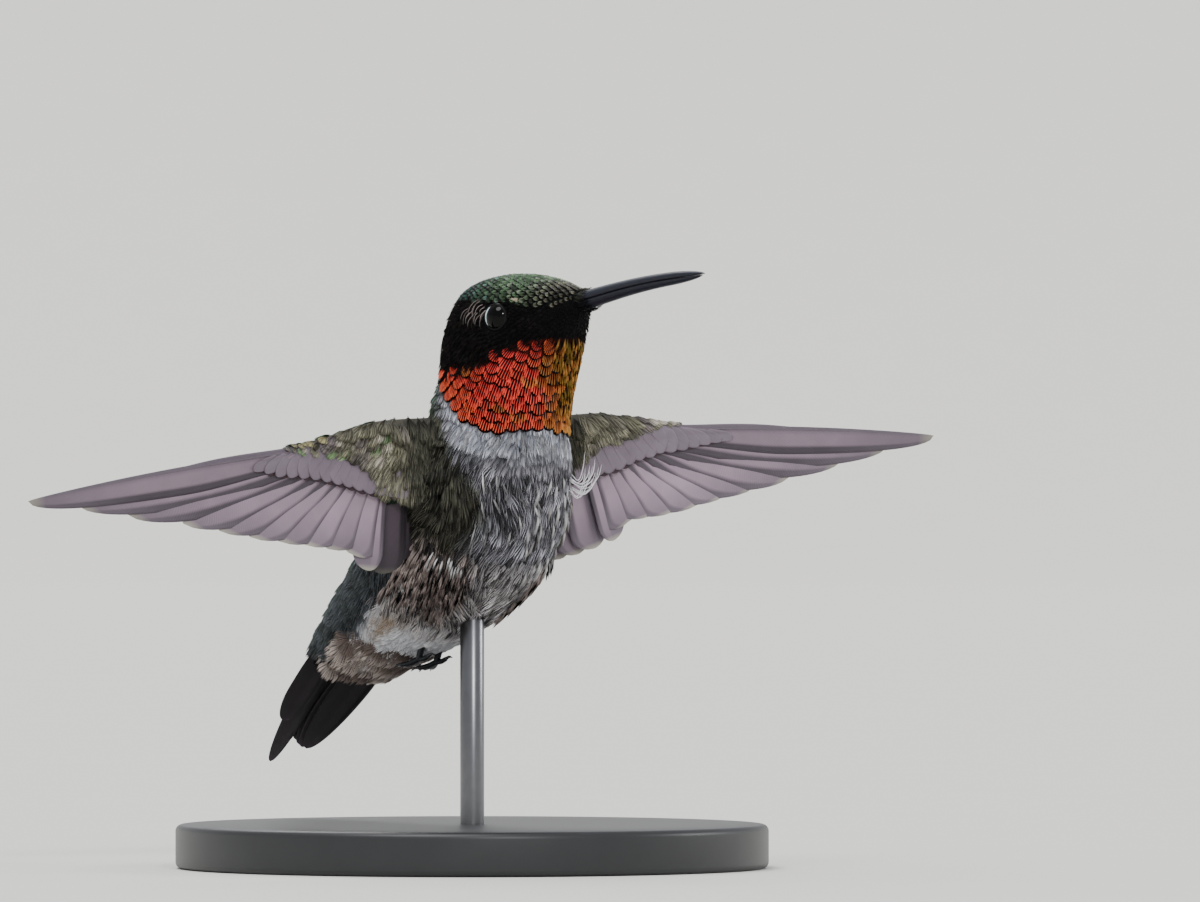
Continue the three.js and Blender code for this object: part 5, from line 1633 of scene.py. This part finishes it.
def flight_material(name, base, painted_backlight, dark, tip, roughness=0.5, specular=0.2, sheen=0.05):
    """A vane's colour: a pale band along the trailing side, painted backlight shining through the single
    vane, then a darker streak at the trailing edge, painted shade where the vanes overlap; a tip colour, and
    fine slanting lines of barbs."""
    material, tree, shader = new_material(name, Roughness=roughness, Specular_IOR_Level=specular,
                                          Sheen_Weight=sheen)
    local = node(tree, "ShaderNodeSeparateXYZ", {0: attribute(tree, "vane").outputs["Vector"]}).outputs
    ramp = node(tree, "ShaderNodeValToRGB", {"Fac": local["X"]})
    # Across the vane: its plain colour, then a band of painted backlight, then painted shade at the trailing
    # edge.
    stops = ((0.0, base), (0.45, base), (0.62, painted_backlight), (0.8, painted_backlight), (0.88, dark), (1.0, dark))
    while len(ramp.color_ramp.elements) < len(stops):
        ramp.color_ramp.elements.new(0.5)
    for element, (at, value) in zip(ramp.color_ramp.elements, stops):
        element.position = at
        element.color = rgba(value)
    ramp.color_ramp.interpolation = "EASE"
    shown = ramp.outputs["Color"]
    for value, start, end, share in ((base, 0.6, 0.95, 0.75), (tip, 0.94, 1.0, 0.7)):
        reach = node(tree, "ShaderNodeMapRange", {"Value": local["Y"], "From Min": start, "From Max": end})
        shown = mix_colour(tree, math_node(tree, "MULTIPLY", reach.outputs[0], share), shown, rgba(value))
    shown = scaled(tree, shown, attribute(tree, "shade").outputs["Fac"])
    slant = math_node(tree, "ABSOLUTE", math_node(tree, "SUBTRACT", local["X"], 0.5))
    phase = math_node(tree, "SUBTRACT", math_node(tree, "MULTIPLY", local["Y"], 420.0),
                      math_node(tree, "MULTIPLY", slant, 120.0))
    wave = math_node(tree, "SINE", phase)
    barbed = scaled(tree, shown, math_node(tree, "MULTIPLY_ADD", wave, 0.05, 1.0))
    finish(tree, shader, barbed, 0.3, 500.0, (0.2, 0.00002), wave)
    return material


def vane_piece(name, vanes, material, slot, *replaced):
    """Joins vanes into one piece, with their coordinates, shades and bake patches."""
    parts, local, shade = [], [], []
    for (web_part, quill), value in vanes:
        for index, (points, faces, uv) in enumerate((web_part, quill)):
            parts.append((points, faces))
            local.append(np.column_stack([uv, np.full(len(uv), float(index))]))
            shade.append(np.full(len(uv), value * (0.9 if index else 1.0)))
    points, faces, part = join(parts)
    local, shade = np.vstack(local), np.concatenate(shade)
    made = mesh_object(name, points, faces, material)
    set_points(made.data, "vane", "FLOAT_VECTOR", local)
    set_points(made.data, "shade", "FLOAT", shade)
    columns = math.ceil(math.sqrt(len(vanes)))
    number = part // 2
    cell = np.column_stack([number % columns, number // columns]) + 0.05 + 0.9 * local[:, :2]
    set_bake_uv(made.data, cell / columns)
    keep_on_body(made, slot, *replaced)


class HUMMINGBIRD_OT_wings(bpy.types.Operator):
    """Make the flight feathers, the coverts and the padded leading part of both wings"""

    bl_idname = "hummingbird.wings"
    bl_label = "Wings"

    def skew(self, root, tip, inner_tip):
        """Slant of a feather's end that leads its edge on to the tip of the next feather inwards."""
        shaft = unit(np.subtract(tip, root))
        step = np.subtract(inner_tip, tip)
        return FLIGHT_SKEW * max(-1.3, (step @ shaft) / max(0.3, step @ [-shaft[1], shaft[0]]))

    def flight_feathers(self, wing, rng):
        found = {"primaries": [], "secondaries": []}
        secondary_reach = SECONDARY_REACH[wing.name]
        reaches = (*PRIMARY_REACH, *secondary_reach)
        primaries = len(PRIMARY_REACH)
        tips = [(reach, wing.edge(reach) - 0.12 * i * (i < primaries)) for i, reach in enumerate(reaches)]
        for i in range(primaries):
            inner = i / (primaries - 1)
            wide = lerp(*PRIMARY_WIDTHS, min(1.0, inner * 2)) if i else OUTERMOST_WIDTH
            lead = LEADING_SHARE * wide if i else OUTERMOST_LEAD
            root = tuple(lerp(*ends, inner) for ends in zip(*PRIMARY_ROOTS))
            height = lerp(0.3, -0.1, inner)
            skew = self.skew(root, tips[i], tips[i + 1]) if i else 0.0
            point = lerp(0.35, 0.78, min(1.0, inner * 1.5))
            made = vane(wing.at, root, tips[i], lead, wide - lead, point=point, narrow=0.6, tilt=0.075,
                        rise=(height, height), sweep=-0.25, skew=skew)
            shade = rng.uniform(0.88, 1.04) * lerp(0.62, 1.0, min(1.0, inner * 1.8))
            found["primaries"].append((made, shade))
        outer, inmost = SECONDARY_ROOTS[wing.name]
        count = len(secondary_reach)
        for i in range(count):
            inner = i / (count - 1)
            root = (lerp(outer, inmost, inner), 1.3)
            made = vane(wing.at, root, tips[primaries + i], 1.8, 2.4 if i else 1.3, point=0.82, narrow=0.6,
                        tilt=0.08, rise=(-0.15 - 1.2 * inner, -0.15 - 2.4 * inner), blunt=0.01)
            shade = SECONDARY_SHADE[wing.name][i] * rng.uniform(0.95, 1.05)
            found["secondaries"].append((made, shade))
        return found

    def covert_row(self, wing, face, rng, beyond, count, up, half):
        """Rounded greater coverts whose tips follow the wing's line of them."""
        line = np.array(COVERT_TIPS[wing.name])
        run = np.concatenate([[0], np.cumsum(np.linalg.norm(np.diff(line, axis=0), axis=-1))])
        place, made = wing.face(face).place, []
        for k in range(count):
            u = 1 - (k + (0.5 if beyond else 0.0)) / (count - 0.5)
            tip = np.array([np.interp(u * run[-1], run, line[:, i]) for i in (0, 1)])
            heading = math.radians(lerp(84, 15, u ** 0.8))
            way = np.array([math.cos(heading), math.sin(heading)])
            tip = tip + way * beyond
            if tip[0] > COVERT_END:
                continue
            root = tip - way * lerp(3.4, 4.0, u)
            front, *_ = pad_section(root[0])
            root[1] = max(root[1], front + 0.9)
            wide = half * lerp(1.0, 0.45, smooth(tip[0], 12, 20))
            shade = rng.uniform(0.94, 1.06) * lerp(0.95, 1.05, 1 - u)
            made.append((vane(place, root, tip, wide, wide, point=0.6, narrow=0.7, rise=(-0.1, up), tilt=0.05,
                              skew=0.25, rows=14, columns=5, thick=0.08, blunt=0.01), shade))
        return made

    def lesser_coverts(self, wing, face, rng):
        """Small feathers over the pad, as far back as the olive edge."""
        surface = wing.face(face)
        roots = rows_over(surface, (-2.0, 20.0), (-2.6, 5.2), 0.62, 0.6, rng, jitter=0.25)
        s, c = roots.T
        limit = np.array(OLIVE_EDGE[wing.name])
        front, *_ = pad_section(s)
        length = lerp(2.2, 0.8, smooth(s, 5, 15))
        keep = c + length * 0.5 < np.interp(s + length * 0.6, limit[:, 0], limit[:, 1])
        keep &= c > front + 0.02
        s, c, length, front = s[keep], c[keep], length[keep], front[keep]
        grain, fleck = draws(rng, s), draws(rng, s)
        places = surface.place(s, c)
        inward = 1 - smooth(s, 2.2, 3.6)[:, None]
        if face > 0:
            tip = lerp(tone("7b7966"), tone("bab69f"), grain)
            mauve = smooth(speckle(places, 2.5, 7), 0.55, 0.75)[:, None] * smooth(s, 5, 8)[:, None]
            tip = lerp(tip, tone("978c8e"), mauve * 0.8)
            tip = np.where((fleck > 0.94) & (s[:, None] > 4.5), tone("a6c890"), tip)
            tip = np.where((fleck < 0.08) & (c[:, None] < 0.5), tone("dcd3c4"), tip)
            tip = lerp(tip, tip * 0.4, (1 - smooth(speckle(places, 1.4, 8), 0.2, 0.4))[:, None] * 0.7)
            edge = (c < front + 0.2) & (s > 9.8) & (s < 14.7) & (wing.side < 0)
            tip = np.where(edge[:, None], tone("c9c193"), tip)
            tip = lerp(tip, chosen("flank"), inward)
        else:
            tip = lerp(tone("31473a"), tone("62866a"), grain)
        outer = smooth(s, 12, 18)[:, None]
        tip = lerp(tip, tone("8a8591"), outer * 0.85)
        lean = lerp(1.45, 1.0, smooth(s, 1.5, 5)) - 0.6 * smooth(s, 3, 16)
        lean = -wing.side * face * lean + rng.uniform(-0.12, 0.12, len(s))
        side = "under" if face > 0 else "over"
        grow_coat(f"lesser_coverts_{side}_{wing.name}", surface, np.column_stack([s, c]), "silk",
                  plumage_material("lesser_coverts"), size=(length * 0.75, length * 1.15), depth=0.2,
                  proud=0.3 + 0.25 * (1 - smooth(s, 7, 9)), tint=tip * lerp(0.5, 0.15, inward),
                  tip=tip * lerp(1.15, 1.0, inward), lean=lean, ruffle=0.06,
                  seed=70 + wing.side + 5 * face, slot="wing_coverts")

    def execute(self, context):
        base = chosen("wing")
        # The pale band and the pale yellowish tip of the flight feathers are painted backlight shining
        # through the vanes; the dark trailing streak is painted shade.
        painted_backlight, dark = base * [1.88, 1.75, 1.74], base * 0.5
        flight = flight_material("flight_vanes", base, painted_backlight, dark, tone("bdbba6"))
        # The greater coverts' darker tips and the dark row just beyond them paint the shadow along the
        # coverts' scalloped edge, together with the dark bases of the flight feathers there.
        mauve, brown = tone("736873"), tone("3a2b32")
        covert = flight_material("covert_vanes", mauve, mauve, mauve, tone("574b54"))
        shadow = flight_material("dark_coverts", brown, brown, brown, brown)
        pad_skin = plain_material("wing_pad", tone("3f3d34"), 0.6, 1500.0, Roughness=0.8)
        for side in (-1, 1):
            wing = Wing(side)
            rng = np.random.default_rng(60 + side)
            feathers = self.flight_feathers(wing, rng)
            vane_piece(f"primaries_{wing.name}", feathers["primaries"], flight, "wing_feathers",
                       f"wing_{wing.name}_hand")
            vane_piece(f"secondaries_{wing.name}", feathers["secondaries"], flight, "wing_feathers")
            rows = self.covert_row(wing, 1, rng, 0.0, 15, 0.3, 1.2)
            rows += self.covert_row(wing, -1, rng, 0.4, 13, 0.3, 1.1)
            vane_piece(f"greater_coverts_{wing.name}", rows, covert, "wing_coverts")
            # A row of dark brown vanes just past the coverts' tips: painted shadow under their edge, with the
            # flight feathers' dark bases.
            rows = self.covert_row(wing, 1, rng, 0.22, 15, 0.18, 1.1)
            vane_piece(f"dark_coverts_{wing.name}", rows, shadow, "wing_coverts")
            made, _, _ = closed_skin(
                f"wing_pad_{wing.name}", wing.pad, lambda s, a: round_unwrap(a, (s + 3.6) / 25),
                PAD_ENDS, PAD_ROWS, PAD_SIDES, pad_skin)
            keep_on_body(made, "wing_coverts", f"wing_{wing.name}_arm")
            for face in (1, -1):
                self.lesser_coverts(wing, face, rng)
        return {"FINISHED"}


# ---------------------------------------------------------------- tail

TAIL_PITCH, TAIL_ROLL = math.radians(42), math.radians(15)
TAIL_LENGTH = 26.0
TAIL_TIP = TRUNK + [0.0, 31.2, -23.4]
TAIL_BACK = np.array([0, math.cos(TAIL_PITCH), -math.sin(TAIL_PITCH)])
TAIL_SIDE = (np.array([1.0, 0, 0]) * math.cos(TAIL_ROLL)
             + np.cross(TAIL_BACK, [1.0, 0, 0]) * math.sin(TAIL_ROLL))
TAIL_UP = unit(np.cross(TAIL_SIDE, TAIL_BACK))
# Ends of the feathers of each side from the middle outwards: place along, place to the left, half
# width, and where the end begins to narrow.
RECTRICES = {
    "right": ((24.1, -0.3, 1.3, 0.72), (24.5, -0.5, 1.35, 0.66), (25.5, -0.55, 1.2, 0.5),
              (27.2, -0.75, 1.25, 0.3), (21.5, -2.15, 1.35, 0.66)),
    "left": ((24.1, 0.35, 1.3, 0.74), (24.4, 0.75, 1.35, 0.7), (24.6, 1.05, 1.4, 0.62),
             (24.6, 1.3, 1.6, 0.52), (24.4, 1.6, 1.8, 0.4)),
}


def tail_place(along, left, up):
    along, left, up = (np.asarray(v, float)[..., None] for v in np.broadcast_arrays(along, left, up))
    root = TAIL_TIP - TAIL_BACK * TAIL_LENGTH
    return root + TAIL_BACK * along + TAIL_SIDE * left + TAIL_UP * up


class HUMMINGBIRD_OT_tail(bpy.types.Operator):
    """Make the ten tail feathers"""

    bl_idname = "hummingbird.tail"
    bl_label = "Tail"

    def execute(self, context):
        base = chosen("tail")
        # The tail's paler band and darker trailing streak are painted backlight and painted shade, as on the
        # wings.
        material = flight_material("tail_vanes", base, base * 1.3, base * 0.7, tone("3a2f3a"),
                                   roughness=0.5, specular=0.12, sheen=0.0)
        rng = np.random.default_rng(80)
        vanes = []
        for side, ends in ((-1, RECTRICES["right"]), (1, RECTRICES["left"])):
            for i, (along, left, half, point) in enumerate(ends):
                below = 0.6 - 0.4 * i
                root = (TAIL_LENGTH * 0.34, side * (i + 0.5) / len(ends) * 2.9)
                vanes.append((vane(tail_place, root, (along, left), half, half, point=point, narrow=0.8,
                                   rise=(below, below * 0.7), bow=0.2, thick=0.2), rng.uniform(0.75, 1.3)))
        vane_piece("tail_feathers", vanes, material, "tail", "tail")
        return {"FINISHED"}


# ---------------------------------------------------------------- feet

ANKLES = {"right": (-1.4, 7.8, -15.0), "left": (1.4, 8.9, -15.3)}
TOE_FANS = (-0.42, 0.0, 0.42, 2.9)  # headings of the three toes and of the hind toe
TOE_SAG = ((0, 0), (0.5, 0.12), (1, 0.05))  # how far a toe drops at its root, middle and end
SHANK_RADII, TOE_RADII, CLAW_RADII = (0.36, 0.32, 0.3), (0.26, 0.23, 0.2), (0.19, 0.13, 0.02)
TOE_LENGTH, CLAW_LENGTH = 1.9, 0.8
BELLY_SLOPE = 0.3


def limb(path, radii, sides=12, scutes=0):
    """A round limb through a path, ringed by small scutes."""
    path, radii = np.asarray(path, float), np.asarray(radii, float)
    steps = 8 * (len(path) - 1) + 1
    at = np.linspace(0, len(path) - 1, steps)
    line = rail(path, at)
    radius = np.interp(at, np.arange(len(path)), radii)
    if scutes:
        radius = radius * (1 + 0.1 * np.abs(np.sin(at * math.pi * scutes)))
    ahead = unit(np.gradient(line, axis=0))
    across = unit(np.cross(ahead, [1, 0.2, 0.1]))
    over = np.cross(ahead, across)
    turn = ring(sides)[None, :, None]
    around = np.cos(turn) * across[:, None, :] + np.sin(turn) * over[:, None, :]
    return tube(line[:, None, :] + around * radius[:, None, None])


class HUMMINGBIRD_OT_feet(bpy.types.Operator):
    """Make the tucked feet with their claws"""

    bl_idname = "hummingbird.feet"
    bl_label = "Feet"

    def execute(self, context):
        skin = plain_material("foot_skin", tone("0d1015"), 0.7, 3500.0, (0.5, 0.00004), Roughness=0.45,
                              Specular_IOR_Level=0.3)
        horn = plain_material("claw_horn", tone("0a0b0e"), 0.3, 3000.0, Roughness=0.25,
                              Specular_IOR_Level=0.6)
        for name, place in ANKLES.items():
            ankle = TRUNK + place + [0, 0, 0.45]
            shank = [ankle + [0, -1.2, 2.4], ankle + [0, -0.4, 0.9], ankle]
            toes, claws = [limb(shank, SHANK_RADII)], []
            for fan in TOE_FANS:
                length = TOE_LENGTH * (0.6 if fan > 1 else 1)
                back = np.array([math.sin(fan), math.cos(fan), -BELLY_SLOPE * math.cos(fan)])
                along = [ankle + back * length * u - [0, 0, drop] for u, drop in TOE_SAG]
                toes.append(limb(along, TOE_RADII, scutes=3))
                end = along[-1]
                claws.append(limb([end - back * 0.1, end + back * CLAW_LENGTH * 0.5 + [0, 0, 0.08],
                                   end + back * CLAW_LENGTH - [0, 0, 0.12]], CLAW_RADII, sides=8))
            points, faces, _ = join(toes)
            keep_on_body(mesh_object("foot_" + name, points, faces, skin), "foot", "leg_" + name)
            points, faces, _ = join(claws)
            keep_on_body(mesh_object("claws_" + name, points, faces, horn), "foot")
        return {"FINISHED"}


# ---------------------------------------------------------------- stand

STAND_RADIUS, STAND_THICKNESS, STAND_EDGE = 27.0, 4.0, 0.6
ROD_RADIUS, ROD_BEVEL = 1.1, 0.2
HUB, FLAT = 4.0, 20.0  # radii of the rings that keep the base's faces even


def turned(profile, sides):
    """Rings of a turned form, from (radius, height) pairs."""
    turn = ring(sides)
    return np.array([np.column_stack([r * np.cos(turn), r * np.sin(turn), np.full(sides, z)])
                     for r, z in profile])


class HUMMINGBIRD_OT_stand(bpy.types.Operator):
    """Make the turned base and the rod"""

    bl_idname = "hummingbird.stand"
    bl_label = "Stand"

    def execute(self, context):
        satin = plain_material("stand_satin", chosen("stand"), 0.35, 400.0,
                               (0.08, 0.00005), Roughness=0.42, Specular_IOR_Level=0.45)
        edge = STAND_EDGE
        corner = [(math.cos(t), math.sin(t)) for t in np.radians(np.linspace(-90, 0, 7))]
        low = [(STAND_RADIUS - edge + edge * x, edge + edge * y) for x, y in corner]
        high = [(radius, STAND_THICKNESS - height) for radius, height in low[::-1]]
        profile = [(HUB, 0.0), (FLAT, 0.0), *low, *high, (FLAT, STAND_THICKNESS),
                   (ROD_RADIUS, STAND_THICKNESS)]
        disc = mesh_object("stand_disc", *tube(turned(profile, 160)), satin)
        keep_on_body(disc, "stand_base", "stand_base")

        steel = plain_material("stand_steel", tone("6c6d70"), 0.25, 900.0, Roughness=0.3, Metallic=1.0)
        foot, top = (corner.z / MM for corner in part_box("stand_rod"))
        profile = [(0.3, foot), (ROD_RADIUS, foot), (ROD_RADIUS, STAND_THICKNESS),
                   (ROD_RADIUS, top - ROD_BEVEL), (ROD_RADIUS - ROD_BEVEL, top), (0.3, top)]
        wire = mesh_object("stand_wire", *tube(turned(profile, 48)), steel)
        keep_on_body(wire, "stand_rod", "stand_rod")
        return {"FINISHED"}


# ---------------------------------------------------------------- stage

HEADING = math.radians(-37)
CAMERA_DISTANCE, FRAME_WIDTH = 1200.0, 109.1
AIM_RIGHT, AIM_UP = 10.73, 4.45  # the middle of the frame from the centre of the trunk
SENSOR = 36.0
CLIP = (0.05, 20.0)  # nearest and farthest that the camera sees, in metres
FLOOR_FLAT, FLOOR_CURVE, FLOOR_SIDES = 2600.0, 900.0, 96
SKY, SKY_STRENGTH = (0.93, 0.95, 1.0), 0.75
# Distant lamps: heading round the bird and height in degrees, strength, and angle in the sky.
LAMPS = {"key": (-70, 62, 2.2, 30.0), "side": (66, 22, 0.9, 14.0), "back": (160, 48, 1.1, 30.0),
         "spark": (-22, 27, 1.05, 6.5)}


class HUMMINGBIRD_OT_stage(bpy.types.Operator):
    """Set the pale floor, the soft lights and the camera"""

    bl_idname = "hummingbird.stage"
    bl_label = "Stage"

    def execute(self, context):
        self.floor()
        self.camera(context.scene)
        self.lights(context.scene)
        return {"FINISHED"}

    def floor(self):
        """A wide floor that curves up far behind everything."""
        paper = plain_material("pale_floor", tone("d9d8d3"), 0.04, 60.0, Roughness=0.9,
                               Specular_IOR_Level=0.1)
        profile = [(1.0, 0.0), (600.0, 0.0), (1500.0, 0.0)]
        profile += [(FLOOR_FLAT + FLOOR_CURVE * math.sin(t), FLOOR_CURVE * (1 - math.cos(t)))
                    for t in np.radians(np.linspace(0, 80, 24))]
        points = np.vstack([turned(profile, FLOOR_SIDES).reshape(-1, 3), [0, 0, 0]])
        hub = len(points) - 1
        faces = grid_faces(len(profile), FLOOR_SIDES, True)
        faces += [(hub, j, (j + 1) % FLOOR_SIDES) for j in range(FLOOR_SIDES)]
        mesh_object("floor", points, faces, paper)

    def camera(self, scene):
        right = Vector((math.cos(HEADING), math.sin(HEADING), 0))
        back = Vector((math.sin(HEADING), -math.cos(HEADING), 0))
        aim = Vector(TRUNK) + right * AIM_RIGHT + Vector((0, 0, AIM_UP))
        lens = bpy.data.cameras.new("camera")
        lens.sensor_width = SENSOR
        lens.lens = SENSOR * CAMERA_DISTANCE / FRAME_WIDTH
        lens.clip_start, lens.clip_end = CLIP
        camera = bpy.data.objects.new("camera", lens)
        scene.collection.objects.link(camera)
        camera.location = (aim + back * CAMERA_DISTANCE) * MM
        camera.rotation_euler = (math.pi / 2, 0, HEADING)
        scene.camera = camera

    def lights(self, scene):
        scene.world = bpy.data.worlds.new("studio")
        scene.world.use_nodes = True
        sky = scene.world.node_tree.nodes["Background"].inputs
        sky["Color"].default_value = rgba(SKY)
        sky["Strength"].default_value = SKY_STRENGTH
        for name, (azimuth, height, power, spread) in LAMPS.items():
            lamp = bpy.data.lights.new(name, "SUN")
            lamp.energy = power
            lamp.angle = math.radians(spread)
            made = bpy.data.objects.new(name, lamp)
            scene.collection.objects.link(made)
            az, el = math.radians(azimuth), math.radians(height)
            way = Vector((math.sin(az) * math.cos(el), -math.cos(az) * math.cos(el), math.sin(el)))
            made.location = Vector(TRUNK) * MM + way
            made.rotation_euler = (-way).to_track_quat("-Z", "Y").to_euler()


# ---------------------------------------------------------------- add-on


class HUMMINGBIRD_PT_panel(bpy.types.Panel):
    """Lists the pieces of the hummingbird"""

    bl_idname = "HUMMINGBIRD_PT_panel"
    bl_label = "Hummingbird"
    bl_space_type = "VIEW_3D"
    bl_region_type = "UI"
    bl_category = "Hummingbird"

    def draw(self, context):
        layout = self.layout
        for settings in (context.scene.hummingbird_sizes, context.scene.hummingbird_colours):
            box = layout.box()
            for key in settings.bl_rna.properties.keys():
                if key not in ("rna_type", "name"):
                    box.prop(settings, key)
        for operator in OPERATORS:
            layout.operator(operator.bl_idname)


OPERATORS = (
    HUMMINGBIRD_OT_stage, HUMMINGBIRD_OT_skin, HUMMINGBIRD_OT_head, HUMMINGBIRD_OT_trunk,
    HUMMINGBIRD_OT_bill, HUMMINGBIRD_OT_eyes, HUMMINGBIRD_OT_wings, HUMMINGBIRD_OT_tail,
    HUMMINGBIRD_OT_feet, HUMMINGBIRD_OT_stand,
)
CLASSES = (Sizes, Colours, *OPERATORS, HUMMINGBIRD_PT_panel)


def register():
    for cls in CLASSES:
        bpy.utils.register_class(cls)
    bpy.types.Scene.hummingbird_sizes = bpy.props.PointerProperty(type=Sizes)
    bpy.types.Scene.hummingbird_colours = bpy.props.PointerProperty(type=Colours)


def unregister():
    del bpy.types.Scene.hummingbird_colours
    del bpy.types.Scene.hummingbird_sizes
    for cls in reversed(CLASSES):
        bpy.utils.unregister_class(cls)


def run_operator(operator):
    space, name = operator.bl_idname.split(".")
    result = getattr(getattr(bpy.ops, space), name)()
    if result != {"FINISHED"}:
        raise RuntimeError(f"{operator.bl_label} was not made")


def remove_templates():
    """Takes the tuft templates out of the file once every coat is a plain mesh."""
    for kind in TEMPLATES:
        collection = bpy.data.collections.get("Tufts " + kind)
        if collection is None:
            continue
        for template in list(collection.objects):
            bpy.data.objects.remove(template)
        bpy.data.collections.remove(collection)


def main():
    register()
    for operator in OPERATORS:
        run_operator(operator)
    remove_templates()


if __name__ == "__main__":
    main()
